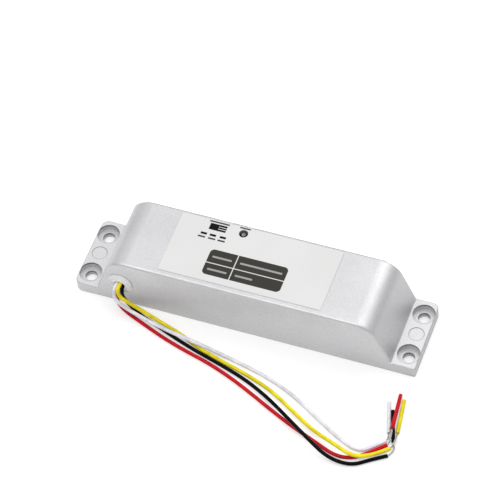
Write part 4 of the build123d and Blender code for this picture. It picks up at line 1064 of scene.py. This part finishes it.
# The coil: enamelled wire in close turns over its inner layers
coil = {
    "axis": (-0.0045, 0.0133),
    "start": -0.0102,
    "length": 0.0246,
    "radius": 0.0079,
    "wireRadius": 0.00022,
    "inner": ((5.4, -10.2), (7.62, -10.2), (7.62, 14.4), (5.4, 14.4), (5.4, -10.2)),
    "segments": 72,
    "turns": 54.0,
    "wireSides": 6,
    "pointsPerTurn": 36,
}

# The return spring round the plunger's outer end, wound at one fixed length; in the lock the
# plunger's slide squeezes it against the frame
spring = {
    "axis": (-0.0045, 0.0133),
    "start": 0.01765,
    "length": 0.00915,
    "radius": 0.0055,
    "wireRadius": 0.0003,
    "turns": 5.0,
    "wireSides": 10,
    "pointsPerTurn": 48,
    "anchor": (0.0176, -0.0045, 0.0133),
    "keep": 0.478,
}


def coilTree():
    # winds one layer of wire along X over the geometry it is given
    sizes = ("Length", "Radius", "Wire radius", "Start", "Across", "Height", "Turns")
    counts = [("Points per turn", "Int"), ("Wire sides", "Int")]
    maker, inputs = newTree("woundCoil", sizes, counts)
    lay = inputs["Radius"] - inputs["Wire radius"]
    run = inputs["Length"] - 2 * inputs["Wire radius"]
    helix = maker.node(
        "GeometryNodeCurveSpiral",
        {},
        {
            "Resolution": inputs["Points per turn"],
            "Rotations": inputs["Turns"],
            "Start Radius": lay,
            "End Radius": lay,
            "Height": run,
        },
    )
    wire = tube(maker, helix, inputs["Wire sides"], inputs["Wire radius"])
    place = maker.node(
        "ShaderNodeCombineXYZ",
        {},
        {
            "X": inputs["Start"] + inputs["Wire radius"],
            "Y": inputs["Across"],
            "Z": inputs["Height"],
        },
    )
    laid = maker.node(
        "GeometryNodeTransform",
        {},
        {"Geometry": wire, "Translation": place, "Rotation": (0, math.pi / 2, 0)},
    )
    return finishTree(maker, joined(maker, inputs["Geometry"], laid), inputs["Finish"])


def wound(source, name, piece, finish):
    values = {
        "Length": piece["length"],
        "Radius": piece["radius"],
        "Wire radius": piece["wireRadius"],
        "Start": piece["start"],
        "Across": piece["axis"][0],
        "Height": piece["axis"][1],
        "Turns": piece["turns"],
        "Points per turn": piece["pointsPerTurn"],
        "Wire sides": piece["wireSides"],
        "Finish": materials[finish],
    }
    return grown(source, windTree, name, values)


windTree = coilTree()
layers = turned("coilLayers", coil["axis"], coil["inner"], coil["segments"], along=0)
winding = wound(layers, "solenoid_winding_turns", coil, "copper_winding")
dress(winding, "copper_winding", "solenoid_winding")
nothing = meshObject("springStart", bmesh.new())
returnSpring = wound(nothing, "plunger_spring_round", spring, "bright_steel")
returnSpring.data.shade_smooth()
dress(returnSpring, "bright_steel", "plunger_spring")
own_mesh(returnSpring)
print("coil and spring wound")

# Floor, lamps and surroundings
stage = {
    "floorHalf": 3.0,
    "floorColour": grey(0.74),
    "floorLift": 0.36,
    "darker": 0.62,
    "nearShade": 0.33,
    "nearReach": (0.019, 0.036),
    "darkFrom": (0.055, 0.085),
    "horizon": 0.34,
    "overhead": 0.58,
    "rise": (0.0, 0.5),
}
softboxes = {
    "keyBox": {"toward": (0.06, 0.16, 1), "away": 0.9, "size": (1.3, 1.2), "level": 0.68},
    "endBox": {"toward": (0.30, 0.53, 0.79), "away": 0.9, "size": (0.5, 0.6), "level": 1.5},
    "leftBox": {"toward": (-0.72, 0.5, 0.45), "away": 0.9, "size": (0.5, 0.5), "level": 0.35},
    "frontBox": {"toward": (-0.25, -0.34, 0.91), "away": 0.9, "size": (0.8, 0.22), "level": 3.2},
}


def rayKinds(maker, *kinds):
    rays = maker.node("ShaderNodeLightPath").socket.node.outputs
    return [Term(maker, rays[f"Is {kind} Ray"]) for kind in kinds]


def floorMaterial():
    # a pale floor, lifted towards white where it is seen, with painted shade in what the metal
    # mirrors: less lift near the lock and to its right
    material = bpy.data.materials.new("floor")
    material.use_nodes = True
    maker = NodeMaker(material.node_tree)
    material.node_tree.nodes.remove(material.node_tree.nodes["Principled BSDF"])
    diffuse = maker.node("ShaderNodeBsdfDiffuse", {}, {"Color": stage["floorColour"]})
    camera, glossy, through = rayKinds(maker, "Camera", "Glossy", "Transmission")
    x, y, _ = maker.axes()
    # painted shade in the floor's reflections: darker to the right of the lock and close to it
    mirrored = 1 - stage["darker"] * maker.step(x, *stage["darkFrom"])
    mirrored = mirrored - stage["nearShade"] * maker.fall(abs(y), *stage["nearReach"])
    seen = (camera + mirrored * glossy.math("MAXIMUM", through)).math("MINIMUM", 1)
    lift = maker.node(
        "ShaderNodeEmission", {}, {"Color": grey(1), "Strength": seen * stage["floorLift"]}
    )
    both = maker.node("ShaderNodeAddShader", {}, {0: diffuse, 1: lift})
    maker.feed(material.node_tree.nodes["Material Output"].inputs["Surface"], both)
    return material


def makeFloor():
    half = stage["floorHalf"]
    mesh = bpy.data.meshes.new("floor")
    corners = [(-half, -half, 0), (half, -half, 0), (half, half, 0), (-half, half, 0)]
    mesh.from_pydata(corners, [], [(0, 1, 2, 3)])
    floor = linked("floor", mesh)
    floor.data.materials.append(floorMaterial())


def makeWorld():
    world = bpy.data.worlds.new("surround")
    world.use_nodes = True
    maker = NodeMaker(world.node_tree)
    camera, through = rayKinds(maker, "Camera", "Transmission")
    height = maker.axes(maker.node("ShaderNodeTexCoord", output="Generated"))[2]
    span = stage["overhead"] - stage["horizon"]
    level = stage["horizon"] + span * maker.step(height, *stage["rise"])
    level = level + (1 - level) * camera.math("MAXIMUM", through)
    background = world.node_tree.nodes["Background"]
    background.inputs["Color"].default_value = grey(1)
    maker.feed(background.inputs["Strength"], level)
    bpy.context.scene.world = world


def makeSoftbox(name, box):
    data = bpy.data.lights.new(name, "AREA")
    data.shape = "RECTANGLE"
    data.size, data.size_y = box["size"]
    data.energy = box["level"] * math.pi * data.size * data.size_y
    toward = Vector(box["toward"]).normalized()
    facing = toward.to_track_quat("Z", "Y").to_matrix().to_4x4()
    linked(name, data).matrix_world = Matrix.Translation(toward * box["away"]) @ facing


makeFloor()
makeWorld()
for name, box in softboxes.items():
    makeSoftbox(name, box)
bpy.context.scene.view_settings.view_transform = "Standard"
print("stage lit")
